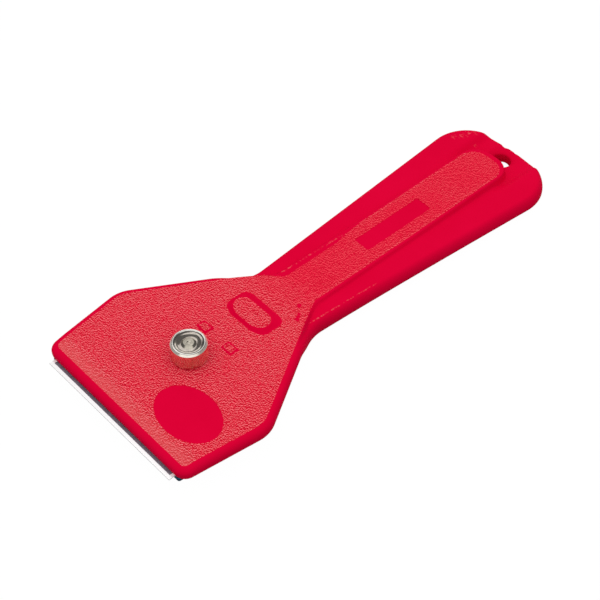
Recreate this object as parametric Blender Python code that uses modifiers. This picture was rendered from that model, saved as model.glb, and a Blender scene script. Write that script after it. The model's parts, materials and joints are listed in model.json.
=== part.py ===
"""Laboratory scraper: one moulded body, a blade clamped under it by a plate, a nut and a thumb screw.

Sizes are in millimetres and the model is in metres. A place along the tool is its distance s
from the cutting edge; +Y runs towards the handle end and +Z is up, with the bench at z = 0.
"""

import math

import bmesh
import bpy
import numpy as np
from mathutils import Matrix, Vector

for stale in list(bpy.data.objects):
    bpy.data.objects.remove(stale, do_unlink=True)

MM = 0.001

# Overall sizes
LENGTH = 131.0
BODY_HEIGHT = 7.2

# Blade, clamp plate, nut and thumb screw
BLADE_WIDTH = 43.0
BLADE_DEPTH = 20.0
BLADE_THICKNESS = 0.3
BLADE_BEVEL = 0.84
BLADE_EDGE = 0.03
PLATE_THICKNESS = 1.0
PLATE_FRONT = 1.7
PLATE_SIDE_OVERLAP = 1.1
PLATE_SWELL = 1.7
PLATE_LENGTH = 40.3
PLATE_TAIL_HALF = 8.0
PLATE_CORNER = 0.6
NUT_ACROSS_FLATS = 7.0
NUT_HEIGHT = 2.85
NUT_CHAMFER = 0.3
SCREW_POSITION = 23.4
SHANK_RADIUS = 2.0
SHANK_POINT = 0.35
SHANK_RECESS = 0.25
KNOB_RADIUS = 4.24
KNOB_HEIGHT = 4.7
KNOB_CHAMFER = 0.45
KNOB_UNDER_CHAMFER = 0.12
KNOB_RIM = 0.36
DISH_DEPTH = 1.0
DISH_WALL = 0.8
DISH_LIP = 0.2
NUB_RADIUS = 1.25
NUB_HEIGHT = 0.5
NUB_DIMPLE = 0.3

# Head of the moulded body
LIP_SETBACK = 1.75
SIDE_RAIL = 2.7
FRONT_CORNER = 3.0
SHOULDER_FLARE = 2.95
SHOULDER_POSITION = 23.74
SHOULDER_RADIUS = 8.1
EDGE_ROUND = 1.7
UNDER_EDGE_ROUND = 0.3
SEAT_DEPTH = 0.25
SEAT_MOUTH = 5.0
SEAT_CORNER = 0.25
FRONT_DROP = 0.55
FRONT_SLOPE = 5.0

# Neck and handle of the moulded body
NECK_POSITION = 50.9
NECK_HALF = 10.8
NECK_RADIUS = 10.0
NECK_BLEND_START = 42.0
NECK_BLEND_END = 51.0
HANDLE_HALF = 17.24
REAR_CORNER = 11.2
REAR_BOW = 1.1
REAR_BOW_RADIUS = 42.0
RIB_HALF = 6.25
RIB_END_GAP = 8.1
RIB_CORNER = 5.0
RIB_SWAY = 0.9
SWAY_START = 46.5
SWAY_FULL = 58.0
RIB_RECOVERY = 0.55
RECOVERY_START = 80.0
WALL_RUN = 0.95
WALL_SHARES = [0.0, 0.1, 0.7, 1.0]
WING_DROP_NECK = 1.65
WING_DROP_REAR = 1.8
WIDEST_DROP_NECK = 3.8
WIDEST_DROP_REAR = 4.7
WING_ROUND_NECK = 1.6
WING_ROUND_REAR = 1.8
BELLY_NECK = 1.8
BELLY_REAR = 8.0
SADDLE_DROP = 3.0
SADDLE_RUN = 10.0
SADDLE_BANK = 1.4
HANGING_RADIUS = 3.0
HANGING_GAP = 5.0

# Raised finger pad and locating pads on the top
PAD_START = 37.9
PAD_LENGTH = 8.3
PAD_HALF = 6.8
PAD_BOW = 1.5
PAD_CORNER = 2.2
PAD_WALL_SIDE = 1.4
PAD_WALL_FRONT = 0.9
PAD_WALL_REAR = 2.1
PAD_FRONT_RISE = 0.6
PAD_REAR_RISE = 0.95
PAD_CROWN = 0.1
SMALL_PAD_INNER = 2.7
SMALL_PAD_WIDTH = 3.3
SMALL_PAD_START = 30.5
SMALL_PAD_LENGTH = 2.0
SMALL_PAD_RISE = 0.3

# Hollow underside and the stop behind the clamp plate
STOP_HALF = 8.6
STOP_LENGTH = 9.0
STOP_LIFT = 0.6
FLOOR_RUN = 7.0
CORE_START = 56.0
CORE_END_GAP = 13.4
CORE_LONGEST = 11.0
CORE_RIB = 1.6
CORE_CORNER = 1.0
CORE_RIM = 2.5
CENTRE_CORE_HALF = 4.4
RIB_SKIN = 2.2
WING_SKIN = 1.6

# Clearances
FACE_GAP = 0.1
SEAT_CLEARANCE = 0.2
BORE_CLEARANCE = 0.2
THREAD_CLEARANCE = 0.1
STOP_CLEARANCE = 0.3
SINK = 0.4
OVERCUT = 1.0

# Fineness of arcs and of the body's stations
CORNER_STEPS = 8
ROUND_STEPS = 5
WING_STEPS = 3
FLAT_STEPS = 3
NECK_STEPS = 8
WELD = 0.002
SLIVER = 0.0005
STATION_SPACING = 4.0
TURN_STEPS = 48

# Heights, stacked up from the nut's lower face on the bench
NUT_TOP = NUT_HEIGHT
PLATE_BOTTOM = NUT_TOP + FACE_GAP
PLATE_TOP = PLATE_BOTTOM + PLATE_THICKNESS
BLADE_BOTTOM = PLATE_TOP + FACE_GAP
BLADE_TOP = BLADE_BOTTOM + BLADE_THICKNESS
SEAT_FLOOR = BLADE_TOP + FACE_GAP
HEAD_UNDERSIDE = SEAT_FLOOR - SEAT_DEPTH
KNOB_BOTTOM = BODY_HEIGHT + FACE_GAP
KNOB_TOP = KNOB_BOTTOM + KNOB_HEIGHT

# Places along the tool and across it
RIB_END = LENGTH - RIB_END_GAP
HANGING_POSITION = LENGTH - HANGING_GAP
PLATE_REAR = PLATE_FRONT + PLATE_LENGTH
STOP_FRONT = PLATE_REAR + STOP_CLEARANCE
SEAT_REAR = BLADE_DEPTH + SEAT_CLEARANCE
FRONT_HALF = BLADE_WIDTH / 2 + SIDE_RAIL
SHOULDER_HALF = FRONT_HALF + SHOULDER_FLARE
WALL_OFFSETS = [0, WALL_RUN / 6, WALL_RUN / 2, WALL_RUN]
SADDLE_HALF = RIB_HALF + WALL_RUN
SADDLE_START = RIB_END - SADDLE_RUN
REAR_ANGLE = math.atan2(REAR_BOW, HANDLE_HALF)
REAR_APEX = LENGTH + REAR_BOW_RADIUS * (1 / math.cos(REAR_ANGLE) - 1)


def collection(name, rendered):
    made = bpy.data.collections.new(name)
    made.hide_render = not rendered
    bpy.context.scene.collection.children.link(made)
    return made


PARTS = collection("laboratory_scraper", True)
CUTTERS = collection("cutters", False)


def material(name, colour, roughness, metallic):
    made = bpy.data.materials.new(name)
    made.use_nodes = True
    shader = made.node_tree.nodes["Principled BSDF"]
    shader.inputs["Base Color"].default_value = (*colour, 1.0)
    shader.inputs["Roughness"].default_value = roughness
    shader.inputs["Metallic"].default_value = metallic
    made.diffuse_color = (*colour, 1.0)
    return made


RED_PLASTIC = material("red_plastic", (0.72, 0.01, 0.035), 0.45, 0.0)
BLADE_STEEL = material("blade_steel", (0.55, 0.55, 0.57), 0.25, 1.0)
PLATE_STEEL = material("plate_steel", (0.36, 0.4, 0.42), 0.4, 1.0)
NUT_STEEL = material("nut_steel", (0.5, 0.5, 0.48), 0.35, 1.0)
NICKEL = material("nickel_plate", (0.75, 0.72, 0.66), 0.2, 1.0)


def place(s):
    """World Y of a place along the tool, still in millimetres."""
    return s - LENGTH / 2


def add_object(name, bm, skin=None, origin=(0, 0, 0)):
    """A named part, or a cutter if it has no material; origin is in millimetres."""
    mesh = bpy.data.meshes.new(name)
    bmesh.ops.translate(bm, vec=-Vector(origin), verts=bm.verts)
    bmesh.ops.scale(bm, vec=(MM, MM, MM), verts=bm.verts)
    bmesh.ops.recalc_face_normals(bm, faces=bm.faces)
    bm.to_mesh(mesh)
    bm.free()
    obj = bpy.data.objects.new(name, mesh)
    obj.location = Vector(origin) * MM
    (PARTS if skin else CUTTERS).objects.link(obj)
    if skin:
        mesh.materials.append(skin)
    else:
        obj.hide_render = True
        obj.display_type = "WIRE"
    return obj


def boolean(obj, tool, operation):
    modifier = obj.modifiers.new(tool.name, "BOOLEAN")
    modifier.operation = operation
    modifier.solver = "EXACT"
    modifier.object = tool


def rounded_path(corners, steps=CORNER_STEPS):
    """Points along straight runs joined by arcs. A corner is (s, x, radius); the ends stay sharp."""
    points = [Vector(corners[0][:2])]
    for before, (s, x, radius), after in zip(corners, corners[1:], corners[2:]):
        corner = Vector((s, x))
        back = (Vector(before[:2]) - corner).normalized()
        ahead = (Vector(after[:2]) - corner).normalized()
        half = back.angle(ahead) / 2
        centre = corner + (back + ahead).normalized() * radius / math.sin(half)
        start = corner + back * radius / math.tan(half) - centre
        end = corner + ahead * radius / math.tan(half) - centre
        turn = math.copysign(math.pi - 2 * half, start.cross(end))
        for step in range(steps + 1):
            points.append(centre + Matrix.Rotation(turn * step / steps, 2) @ start)
    points.append(Vector(corners[-1][:2]))
    return points


def ring(half_corners, steps=CORNER_STEPS):
    """Closed symmetrical outline from the corners of its +X half, both ends on the centre line."""
    first, *middle, last = half_corners
    mirrored = [(s, -x, radius) for s, x, radius in reversed(middle)]
    path = rounded_path([first, *middle, last], steps)[1:-1]
    back = rounded_path([last, *mirrored, first], steps)[1:-1]
    return path + back


def closed_path(corners, steps=CORNER_STEPS):
    """Closed outline with every corner rounded."""
    return rounded_path([corners[-1], *corners, corners[0]], steps)[1:-1]


def add_prism(bm, outline, low, high):
    verts = [bm.verts.new((point.y, place(point.x), low)) for point in outline]
    face = bm.faces.new(verts)
    grown = bmesh.ops.extrude_face_region(bm, geom=[face])
    raised = [item for item in grown["geom"] if isinstance(item, bmesh.types.BMVert)]
    bmesh.ops.translate(bm, vec=(0, 0, high - low), verts=raised)


def prism(name, outline, low, high, skin=None, origin=(0, 0, 0)):
    bm = bmesh.new()
    add_prism(bm, outline, low, high)
    return add_object(name, bm, skin, origin)


def cylinder(name, radius, s, low, high):
    bm = bmesh.new()
    bmesh.ops.create_cone(
        bm, cap_ends=True, segments=TURN_STEPS, radius1=radius, radius2=radius,
        depth=high - low, matrix=Matrix.Translation((0, place(s), (low + high) / 2)),
    )
    return add_object(name, bm)


def turned(name, profile, s, skin):
    """A solid of revolution about the vertical at s; the profile runs from top to bottom."""
    bm = bmesh.new()
    verts = [bm.verts.new((radius, 0, height)) for radius, height in profile]
    for first, second in zip(verts, verts[1:]):
        bm.edges.new((first, second))
    obj = add_object(name, bm, skin)
    obj.location = Vector((0, place(s), 0)) * MM
    modifier = obj.modifiers.new("turned", "SCREW")
    modifier.axis = "Z"
    modifier.steps = TURN_STEPS
    modifier.render_steps = TURN_STEPS
    modifier.use_merge_vertices = True
    modifier.merge_threshold = 0.00001
    modifier.use_smooth_shade = True
    return obj


def soften(obj, degrees):
    """Smooth shading, with the edges sharper than this left crisp."""
    obj.data.shade_smooth()
    obj.data.set_sharp_from_angle(angle=math.radians(degrees))


def ramp(s, start, end):
    """Smooth step from 0 at start to 1 at end."""
    t = np.clip((s - start) / (end - start), 0, 1)
    return t * t * (3 - 2 * t)


def crossing(point, direction, other, along):
    """Where two lines in the plane meet."""
    return point + direction * (other - point).cross(along) / direction.cross(along)


# Plan outline of the body, +X half: lip, side, shoulder, neck, handle and rear end
OUTLINE_CORNERS = [
    (LIP_SETBACK, 0, 0),
    (LIP_SETBACK, FRONT_HALF, FRONT_CORNER),
    (SHOULDER_POSITION, SHOULDER_HALF, SHOULDER_RADIUS),
    (NECK_POSITION, NECK_HALF, NECK_RADIUS),
    (REAR_APEX - REAR_BOW, HANDLE_HALF, REAR_CORNER),
    (REAR_APEX, 0, REAR_BOW_RADIUS),
    (REAR_APEX - REAR_BOW, -HANDLE_HALF, 0),
]
OUTLINE = [point for point in rounded_path(OUTLINE_CORNERS) if point.y > -OVERCUT * MM]
OUTLINE_S = np.array([point.x for point in OUTLINE[1:]])
OUTLINE_X = np.array([point.y for point in OUTLINE[1:]])

# The flat top ends one edge radius inside the outline; this is its +X half as far as the neck
FRONT, SHOULDER, NECK = [Vector(corner[:2]) for corner in OUTLINE_CORNERS[1:4]]
SIDE_RUN = (SHOULDER - FRONT).normalized()
TAPER_RUN = (NECK - SHOULDER).normalized()
SIDE_INSET = FRONT + Vector((SIDE_RUN.y, -SIDE_RUN.x)) * EDGE_ROUND
TAPER_INSET = SHOULDER + Vector((TAPER_RUN.y, -TAPER_RUN.x)) * EDGE_ROUND
FLAT_START = LIP_SETBACK + EDGE_ROUND
FLAT_FRONT = crossing(Vector((FLAT_START, 0)), Vector((0, 1)), SIDE_INSET, SIDE_RUN)
FLAT_SHOULDER = crossing(SIDE_INSET, SIDE_RUN, TAPER_INSET, TAPER_RUN)
FLAT_NECK = crossing(TAPER_INSET, TAPER_RUN, Vector((0, RIB_HALF)), Vector((1, 0)))
FLAT_TIP = crossing(TAPER_INSET, TAPER_RUN, Vector((0, 0)), Vector((1, 0)))
FLAT = rounded_path([
    (FLAT_START, 0, 0),
    (*FLAT_FRONT, FRONT_CORNER - EDGE_ROUND),
    (*FLAT_SHOULDER, SHOULDER_RADIUS - EDGE_ROUND),
    (*FLAT_TIP, 0),
])[1:]
FLAT_S = np.array([point.x for point in FLAT])
FLAT_X = np.array([point.y for point in FLAT])


def outline_half(s):
    return np.interp(s, OUTLINE_S, OUTLINE_X)


def rib_distance(s, x):
    """Signed distance outside the rib's U-ended outline."""
    across = x - (RIB_HALF - RIB_CORNER)
    along = s - (RIB_END - RIB_CORNER)
    outside = math.hypot(max(across, 0), max(along, 0))
    return outside + min(max(across, along), 0) - RIB_CORNER


def rib_half(s, grown=0.0):
    """Half width of the rib's U-ended outline, grown by an offset."""
    corner = RIB_CORNER + grown
    along = min(max(s - (RIB_END + grown - corner), 0), corner)
    if s > RIB_END + grown + FACE_GAP * MM:
        return 0.0
    return RIB_HALF - RIB_CORNER + math.sqrt(corner * corner - along * along)


def edge_distance(s, x):
    """Distance inside the plan outline, zero on it."""
    start = np.array([(point.x, point.y) for point in OUTLINE[:-1]])
    run = np.array([(point.x, point.y) for point in OUTLINE[1:]]) - start
    gap = np.array([s, x]) - start
    share = np.clip((gap * run).sum(1) / np.maximum((run * run).sum(1), WELD), 0, 1)
    nearest = float(np.hypot(*(gap - run * share[:, None]).T).min())
    return nearest if nearest > WELD else 0.0


def quarter(share):
    """Height of a quarter round across its width."""
    inside = np.clip(1 - share, 0, 1)
    return math.sqrt(1 - inside * inside)


def blended(s, on_head, at_neck, at_rear):
    """A size that has one value on the head and runs evenly along the handle."""
    share = min(max((s - NECK_BLEND_END) / (RIB_END - NECK_BLEND_END), 0), 1)
    along = at_neck + (at_rear - at_neck) * share
    return on_head + (along - on_head) * ramp(s, NECK_BLEND_START, NECK_BLEND_END)


def edge_width(s):
    """Plan width of the rounding along the top edge."""
    return blended(s, EDGE_ROUND, WING_ROUND_NECK, WING_ROUND_REAR)


def widest_height(s):
    return BODY_HEIGHT - blended(s, EDGE_ROUND, WIDEST_DROP_NECK, WIDEST_DROP_REAR)


def rib_drop(s):
    """Fall of the rib's top below the head's top: it sways down behind the neck."""
    return RIB_SWAY * ramp(s, SWAY_START, SWAY_FULL) - RIB_RECOVERY * ramp(s, RECOVERY_START, RIB_END)


def flat_half(s):
    """Half width of the head's flat top, which tapers to nothing behind the neck."""
    return float(np.interp(s, FLAT_S, FLAT_X))


def top_height(s, x):
    """Height of the body's upper skin: the rib, the wings beside it and the saddle at its end."""
    beyond = rib_distance(s, x)
    if s < FLAT_TIP.x:
        beyond = min(beyond, (x - flat_half(s)) * TAPER_RUN.x)
    rib = rib_drop(s)
    wing = blended(s, 0, WING_DROP_NECK, WING_DROP_REAR)
    hollow = ramp(s, SADDLE_START, RIB_END) * (1 - ramp(x, SADDLE_HALF, SADDLE_HALF + SADDLE_BANK))
    foot = wing + (SADDLE_DROP - wing) * hollow
    wall = np.interp(beyond, WALL_OFFSETS, WALL_SHARES)
    slope = FRONT_DROP * min(max(1 - (s - LIP_SETBACK) / FRONT_SLOPE, 0), 1)
    low = widest_height(s)
    full = BODY_HEIGHT - rib - (foot - rib) * wall - slope
    return low + (full - low) * quarter(edge_distance(s, x) / edge_width(s))


def bottom_height(s, x):
    """Height of the body's lower skin."""
    width = blended(s, UNDER_EDGE_ROUND, BELLY_NECK, BELLY_REAR)
    floor = HEAD_UNDERSIDE * (1 - ramp(s, STOP_FRONT, STOP_FRONT + FLOOR_RUN))
    high = widest_height(s)
    return high - (high - floor) * quarter(edge_distance(s, x) / width)


def columns(s):
    """Places across the +X half: the flat, the wall beside it, the wing and its rounding."""
    half = float(outline_half(s))
    flat = min(flat_half(s), half) if s < FLAT_TIP.x else 0.0
    blend = float(ramp(s, NECK_BLEND_START, NECK_BLEND_END))
    inner = max(flat, rib_half(s))
    walls = [max(min(flat + grown, half), rib_half(s, grown)) for grown in WALL_OFFSETS]
    bank = max(min(SADDLE_HALF + SADDLE_BANK, half), walls[-1])
    walls += [(walls[-1] + bank) / 2, bank]
    crest = max(half - float(edge_width(s)), bank + (half - bank) / 3)
    wing = [bank + (crest - bank) * step / WING_STEPS for step in range(1, WING_STEPS + 1)]
    edge = [crest + (half - crest) * math.sin(math.pi / 2 * step / ROUND_STEPS)
            for step in range(1, ROUND_STEPS + 1)]
    handle = walls + wing + edge
    steps = len(handle) - 1
    head = [inner + (half - inner) * math.sin(math.pi / 2 * step / steps) for step in range(steps + 1)]
    across = [(1 - blend) * a + blend * b for a, b in zip(head, handle)]
    return [inner * step / FLAT_STEPS for step in range(FLAT_STEPS)] + across


def stations():
    """Places along the body: the outline's corners, the rib's end and an even filling."""
    marks = list(OUTLINE_S) + list(FLAT_S) + [FLAT_NECK.x, LIP_SETBACK + FRONT_SLOPE]
    marks += [LIP_SETBACK + EDGE_ROUND * (1 - math.cos(math.pi / 2 * step / ROUND_STEPS))
              for step in range(1, ROUND_STEPS)]
    marks += [RIB_END + grown for grown in WALL_OFFSETS]
    marks += [RIB_END - RIB_CORNER * (1 - math.sin(math.pi / 2 * step / ROUND_STEPS))
              for step in range(ROUND_STEPS)]
    marks += [NECK_BLEND_START + (NECK_BLEND_END - NECK_BLEND_START) * step / NECK_STEPS
              for step in range(NECK_STEPS + 1)]
    marks = sorted(mark for mark in marks if LIP_SETBACK <= mark <= LENGTH)
    kept = [LIP_SETBACK]
    for mark in marks + [LENGTH]:
        gap = mark - kept[-1]
        if gap < FACE_GAP and mark < LENGTH:
            continue
        fill = int(gap / STATION_SPACING)
        kept += [kept[-1] + gap * step / (fill + 1) for step in range(1, fill + 1)]
        kept.append(mark)
    return kept


def body_loft():
    bm = bmesh.new()
    rows = []
    for s in stations():
        halves = columns(s)
        across = [-x for x in reversed(halves[1:])] + halves
        upper = [bm.verts.new((x, place(s), top_height(s, abs(x)))) for x in across]
        lower = [bm.verts.new((x, place(s), bottom_height(s, abs(x)))) for x in across]
        rows.append((upper, lower))
    for near, far in zip(rows, rows[1:]):
        for sheet in (0, 1):
            for a, b, c, d in zip(near[sheet], near[sheet][1:], far[sheet][1:], far[sheet]):
                bm.faces.new((a, b, c, d) if sheet == 0 else (d, c, b, a))
    bmesh.ops.remove_doubles(bm, verts=bm.verts, dist=WELD)
    bmesh.ops.dissolve_degenerate(bm, edges=bm.edges, dist=SLIVER)
    return bm


body = add_object("scraper_body", body_loft(), RED_PLASTIC)

# Finger pad with a bowed front, sloped walls and a top that leans down to the front
PAD_END = PAD_START + PAD_LENGTH


def pad_outline(start, end, half):
    return ring([
        (start, 0, 0),
        (start + PAD_BOW / 4, half / 2, PAD_CORNER),
        (start + PAD_BOW, half, PAD_CORNER),
        (end, half, PAD_CORNER),
        (end, 0, 0),
    ])


pad_foot = pad_outline(PAD_START, PAD_END, PAD_HALF)
pad_crown = pad_outline(PAD_START + PAD_WALL_FRONT, PAD_END - PAD_WALL_REAR, PAD_HALF - PAD_WALL_SIDE)


def pad_rise(s):
    share = (s - PAD_START - PAD_WALL_FRONT) / (PAD_LENGTH - PAD_WALL_FRONT - PAD_WALL_REAR)
    return PAD_FRONT_RISE + (PAD_REAR_RISE - PAD_FRONT_RISE) * share


pad_bm = bmesh.new()
pad_low, pad_high = [], []
for foot, crown in zip(pad_foot, pad_crown):
    rise = pad_rise(crown.x)
    root = foot + (foot - crown) * SINK / rise
    pad_low.append(pad_bm.verts.new((root.y, place(root.x), BODY_HEIGHT - SINK)))
    pad_high.append(pad_bm.verts.new((crown.y, place(crown.x), BODY_HEIGHT + rise)))
pad_middle = (PAD_START + PAD_WALL_FRONT + PAD_END - PAD_WALL_REAR) / 2
pad_peak = pad_bm.verts.new((0, place(pad_middle), BODY_HEIGHT + pad_rise(pad_middle) + PAD_CROWN))
for a, b, c, d in zip(pad_low, pad_low[1:] + pad_low[:1], pad_high[1:] + pad_high[:1], pad_high):
    pad_bm.faces.new((a, b, c, d))
    pad_bm.faces.new((d, c, pad_peak))
pad_bm.faces.new(pad_low)
boolean(body, add_object("finger_pad", pad_bm), "UNION")

small_bm = bmesh.new()
for side in (-1, 1):
    inner, outer = side * SMALL_PAD_INNER, side * (SMALL_PAD_INNER + SMALL_PAD_WIDTH)
    far = SMALL_PAD_START + SMALL_PAD_LENGTH
    corners = [(SMALL_PAD_START, inner), (SMALL_PAD_START, outer), (far, outer), (far, inner)]
    outline = [Vector(corner) for corner in corners]
    add_prism(small_bm, outline, BODY_HEIGHT - SINK, BODY_HEIGHT + SMALL_PAD_RISE)
boolean(body, add_object("small_pads", small_bm), "UNION")

# Stop behind the clamp plate's straight tail
STOP_TOP = HEAD_UNDERSIDE + SINK
stop_outline = closed_path([
    (STOP_FRONT, -STOP_HALF, CORE_CORNER),
    (STOP_FRONT, STOP_HALF, CORE_CORNER),
    (STOP_FRONT + STOP_LENGTH, STOP_HALF, CORE_CORNER),
    (STOP_FRONT + STOP_LENGTH, -STOP_HALF, CORE_CORNER),
], 3)
boolean(body, prism("plate_stop", stop_outline, STOP_LIFT, STOP_TOP), "UNION")

# Screw bore through the head
BORE_RADIUS = SHANK_RADIUS + BORE_CLEARANCE
screw_bore = cylinder("screw_bore", BORE_RADIUS, SCREW_POSITION, -OVERCUT, BODY_HEIGHT + OVERCUT)
boolean(body, screw_bore, "DIFFERENCE")

# Cores that leave a rim, two long ribs and cross ribs under the handle
WING_CEILING = BODY_HEIGHT - SADDLE_DROP - WING_SKIN
RIB_CEILING = BODY_HEIGHT - RIB_SWAY - RIB_SKIN
CORE_END = LENGTH - CORE_END_GAP
core_rows = math.ceil((CORE_END - CORE_START + CORE_RIB) / (CORE_LONGEST + CORE_RIB))
core_pitch = (CORE_END - CORE_START + CORE_RIB) / core_rows
core_bm = bmesh.new()
for row in range(core_rows):
    start = CORE_START + row * core_pitch
    end = start + core_pitch - CORE_RIB
    inner = CENTRE_CORE_HALF
    centre = [(start, -inner), (start, inner), (end, inner), (end, -inner)]
    add_prism(core_bm, closed_path([(*c, CORE_CORNER) for c in centre], 2), -OVERCUT, RIB_CEILING)
    near, far = float(outline_half(start)) - CORE_RIM, float(outline_half(end)) - CORE_RIM
    inner = CENTRE_CORE_HALF + CORE_RIB
    for side in (-1, 1):
        wing = [(start, side * inner), (start, side * near), (end, side * far), (end, side * inner)]
        add_prism(core_bm, closed_path([(*c, CORE_CORNER) for c in wing], 2), -OVERCUT, WING_CEILING)
boolean(body, add_object("handle_cores", core_bm), "DIFFERENCE")

# Hanging hole through the saddle behind the rib
hanging = cylinder("hanging_hole", HANGING_RADIUS, HANGING_POSITION, -OVERCUT, BODY_HEIGHT)
boolean(body, hanging, "DIFFERENCE")

# Blade seat between two side rails, its mouth flared at the lip
SEAT_HALF = BLADE_WIDTH / 2 + SEAT_CLEARANCE
seat = ring([
    (-OVERCUT, 0, 0),
    (-OVERCUT, FRONT_HALF, FACE_GAP),
    (SEAT_MOUTH, SEAT_HALF, FACE_GAP),
    (SEAT_REAR, SEAT_HALF, SEAT_CORNER),
    (SEAT_REAR, 0, 0),
], 2)
boolean(body, prism("blade_seat", seat, HEAD_UNDERSIDE - OVERCUT, SEAT_FLOOR), "DIFFERENCE")
soften(body, 35)

# Blade with one ground bevel on its upper side
blade_bm = bmesh.new()
blade_section = [
    (0, BLADE_BOTTOM), (0, BLADE_BOTTOM + BLADE_EDGE), (BLADE_BEVEL, BLADE_TOP),
    (BLADE_DEPTH, BLADE_TOP), (BLADE_DEPTH, BLADE_BOTTOM),
]
blade_face = blade_bm.faces.new(
    [blade_bm.verts.new((-BLADE_WIDTH / 2, place(s), z)) for s, z in blade_section]
)
blade_grown = bmesh.ops.extrude_face_region(blade_bm, geom=[blade_face])
blade_far = [item for item in blade_grown["geom"] if isinstance(item, bmesh.types.BMVert)]
bmesh.ops.translate(blade_bm, vec=(BLADE_WIDTH, 0, 0), verts=blade_far)
add_object("blade", blade_bm, BLADE_STEEL, (0, place(BLADE_DEPTH / 2), BLADE_BOTTOM))

# Clamp plate: straight front, swelling to the shoulder, straight tail against the stop
PLATE_HALF = BLADE_WIDTH / 2 + PLATE_SIDE_OVERLAP
plate_outline = ring([
    (PLATE_FRONT, 0, 0),
    (PLATE_FRONT, PLATE_HALF, PLATE_CORNER),
    (SHOULDER_POSITION, PLATE_HALF + PLATE_SWELL, SHOULDER_RADIUS - EDGE_ROUND),
    (PLATE_REAR, PLATE_TAIL_HALF, PLATE_CORNER),
    (PLATE_REAR, 0, 0),
], 5)
screw_origin = (0, place(SCREW_POSITION), 0)
plate = prism("clamp_plate", plate_outline, PLATE_BOTTOM, PLATE_TOP, PLATE_STEEL, screw_origin)
boolean(plate, screw_bore, "DIFFERENCE")

# Hexagon nut under the plate
nut_bm = bmesh.new()
NUT_RADIUS = NUT_ACROSS_FLATS / math.sqrt(3)
bmesh.ops.create_cone(
    nut_bm, cap_ends=True, segments=6, radius1=NUT_RADIUS, radius2=NUT_RADIUS, depth=NUT_HEIGHT,
    matrix=Matrix.Translation((0, place(SCREW_POSITION), NUT_HEIGHT / 2)),
)
nut = add_object("clamp_nut", nut_bm, NUT_STEEL, screw_origin)
THREAD_RADIUS = SHANK_RADIUS + THREAD_CLEARANCE
thread_bore = cylinder("thread_bore", THREAD_RADIUS, SCREW_POSITION, -OVERCUT, NUT_HEIGHT + OVERCUT)
boolean(nut, thread_bore, "DIFFERENCE")
nut_bevel = nut.modifiers.new("chamfer", "BEVEL")
nut_bevel.width = NUT_CHAMFER * MM
nut_bevel.segments = 1
nut_bevel.limit_method = "ANGLE"
nut_bevel.angle_limit = math.radians(70)

# Thumb screw: dished knob on a plain shank
DISH_FLOOR = KNOB_TOP - DISH_DEPTH
RIM_OUTER = KNOB_RADIUS - KNOB_CHAMFER
RIM_INNER = RIM_OUTER - KNOB_RIM
turned("thumb_screw", [
    (0, DISH_FLOOR + NUB_HEIGHT - NUB_DIMPLE),
    (NUB_RADIUS / 2, DISH_FLOOR + NUB_HEIGHT),
    (NUB_RADIUS, DISH_FLOOR),
    (RIM_INNER - DISH_WALL, DISH_FLOOR),
    (RIM_INNER, KNOB_TOP - DISH_LIP),
    (RIM_INNER + DISH_LIP / 2, KNOB_TOP),
    (RIM_OUTER, KNOB_TOP),
    (KNOB_RADIUS, KNOB_TOP - KNOB_CHAMFER),
    (KNOB_RADIUS, KNOB_BOTTOM + KNOB_UNDER_CHAMFER),
    (KNOB_RADIUS - KNOB_UNDER_CHAMFER, KNOB_BOTTOM),
    (SHANK_RADIUS, KNOB_BOTTOM),
    (SHANK_RADIUS, SHANK_RECESS + SHANK_POINT),
    (SHANK_RADIUS - SHANK_POINT, SHANK_RECESS),
    (0, SHANK_RECESS),
], SCREW_POSITION, NICKEL)
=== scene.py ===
"""Looks of the laboratory scraper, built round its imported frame.

Sizes are in millimetres until a mesh is made. A place along the tool is its distance s from the
cutting edge; +Y runs towards the handle end and +Z is up, with the bench at z = 0.
"""

import json
import math

import bmesh
import bpy
import numpy as np
from mathutils import Matrix, Vector

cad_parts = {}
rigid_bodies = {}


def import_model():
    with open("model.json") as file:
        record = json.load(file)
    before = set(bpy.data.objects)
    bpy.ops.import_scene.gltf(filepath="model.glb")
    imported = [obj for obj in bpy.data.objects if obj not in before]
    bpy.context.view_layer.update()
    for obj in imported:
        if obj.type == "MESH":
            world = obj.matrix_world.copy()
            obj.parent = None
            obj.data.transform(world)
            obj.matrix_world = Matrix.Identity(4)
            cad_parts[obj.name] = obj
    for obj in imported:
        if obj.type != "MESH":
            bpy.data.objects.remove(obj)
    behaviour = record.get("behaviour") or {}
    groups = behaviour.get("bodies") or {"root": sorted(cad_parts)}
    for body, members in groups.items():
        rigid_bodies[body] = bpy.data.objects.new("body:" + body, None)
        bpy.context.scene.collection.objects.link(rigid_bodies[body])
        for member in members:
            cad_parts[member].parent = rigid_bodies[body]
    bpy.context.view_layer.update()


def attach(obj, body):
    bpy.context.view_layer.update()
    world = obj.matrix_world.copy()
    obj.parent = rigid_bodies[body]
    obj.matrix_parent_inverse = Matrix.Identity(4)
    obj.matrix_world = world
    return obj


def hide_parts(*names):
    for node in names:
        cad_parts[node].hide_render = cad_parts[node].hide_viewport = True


for stale in list(bpy.data.objects):
    bpy.data.objects.remove(stale, do_unlink=True)

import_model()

MM = 0.001

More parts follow.
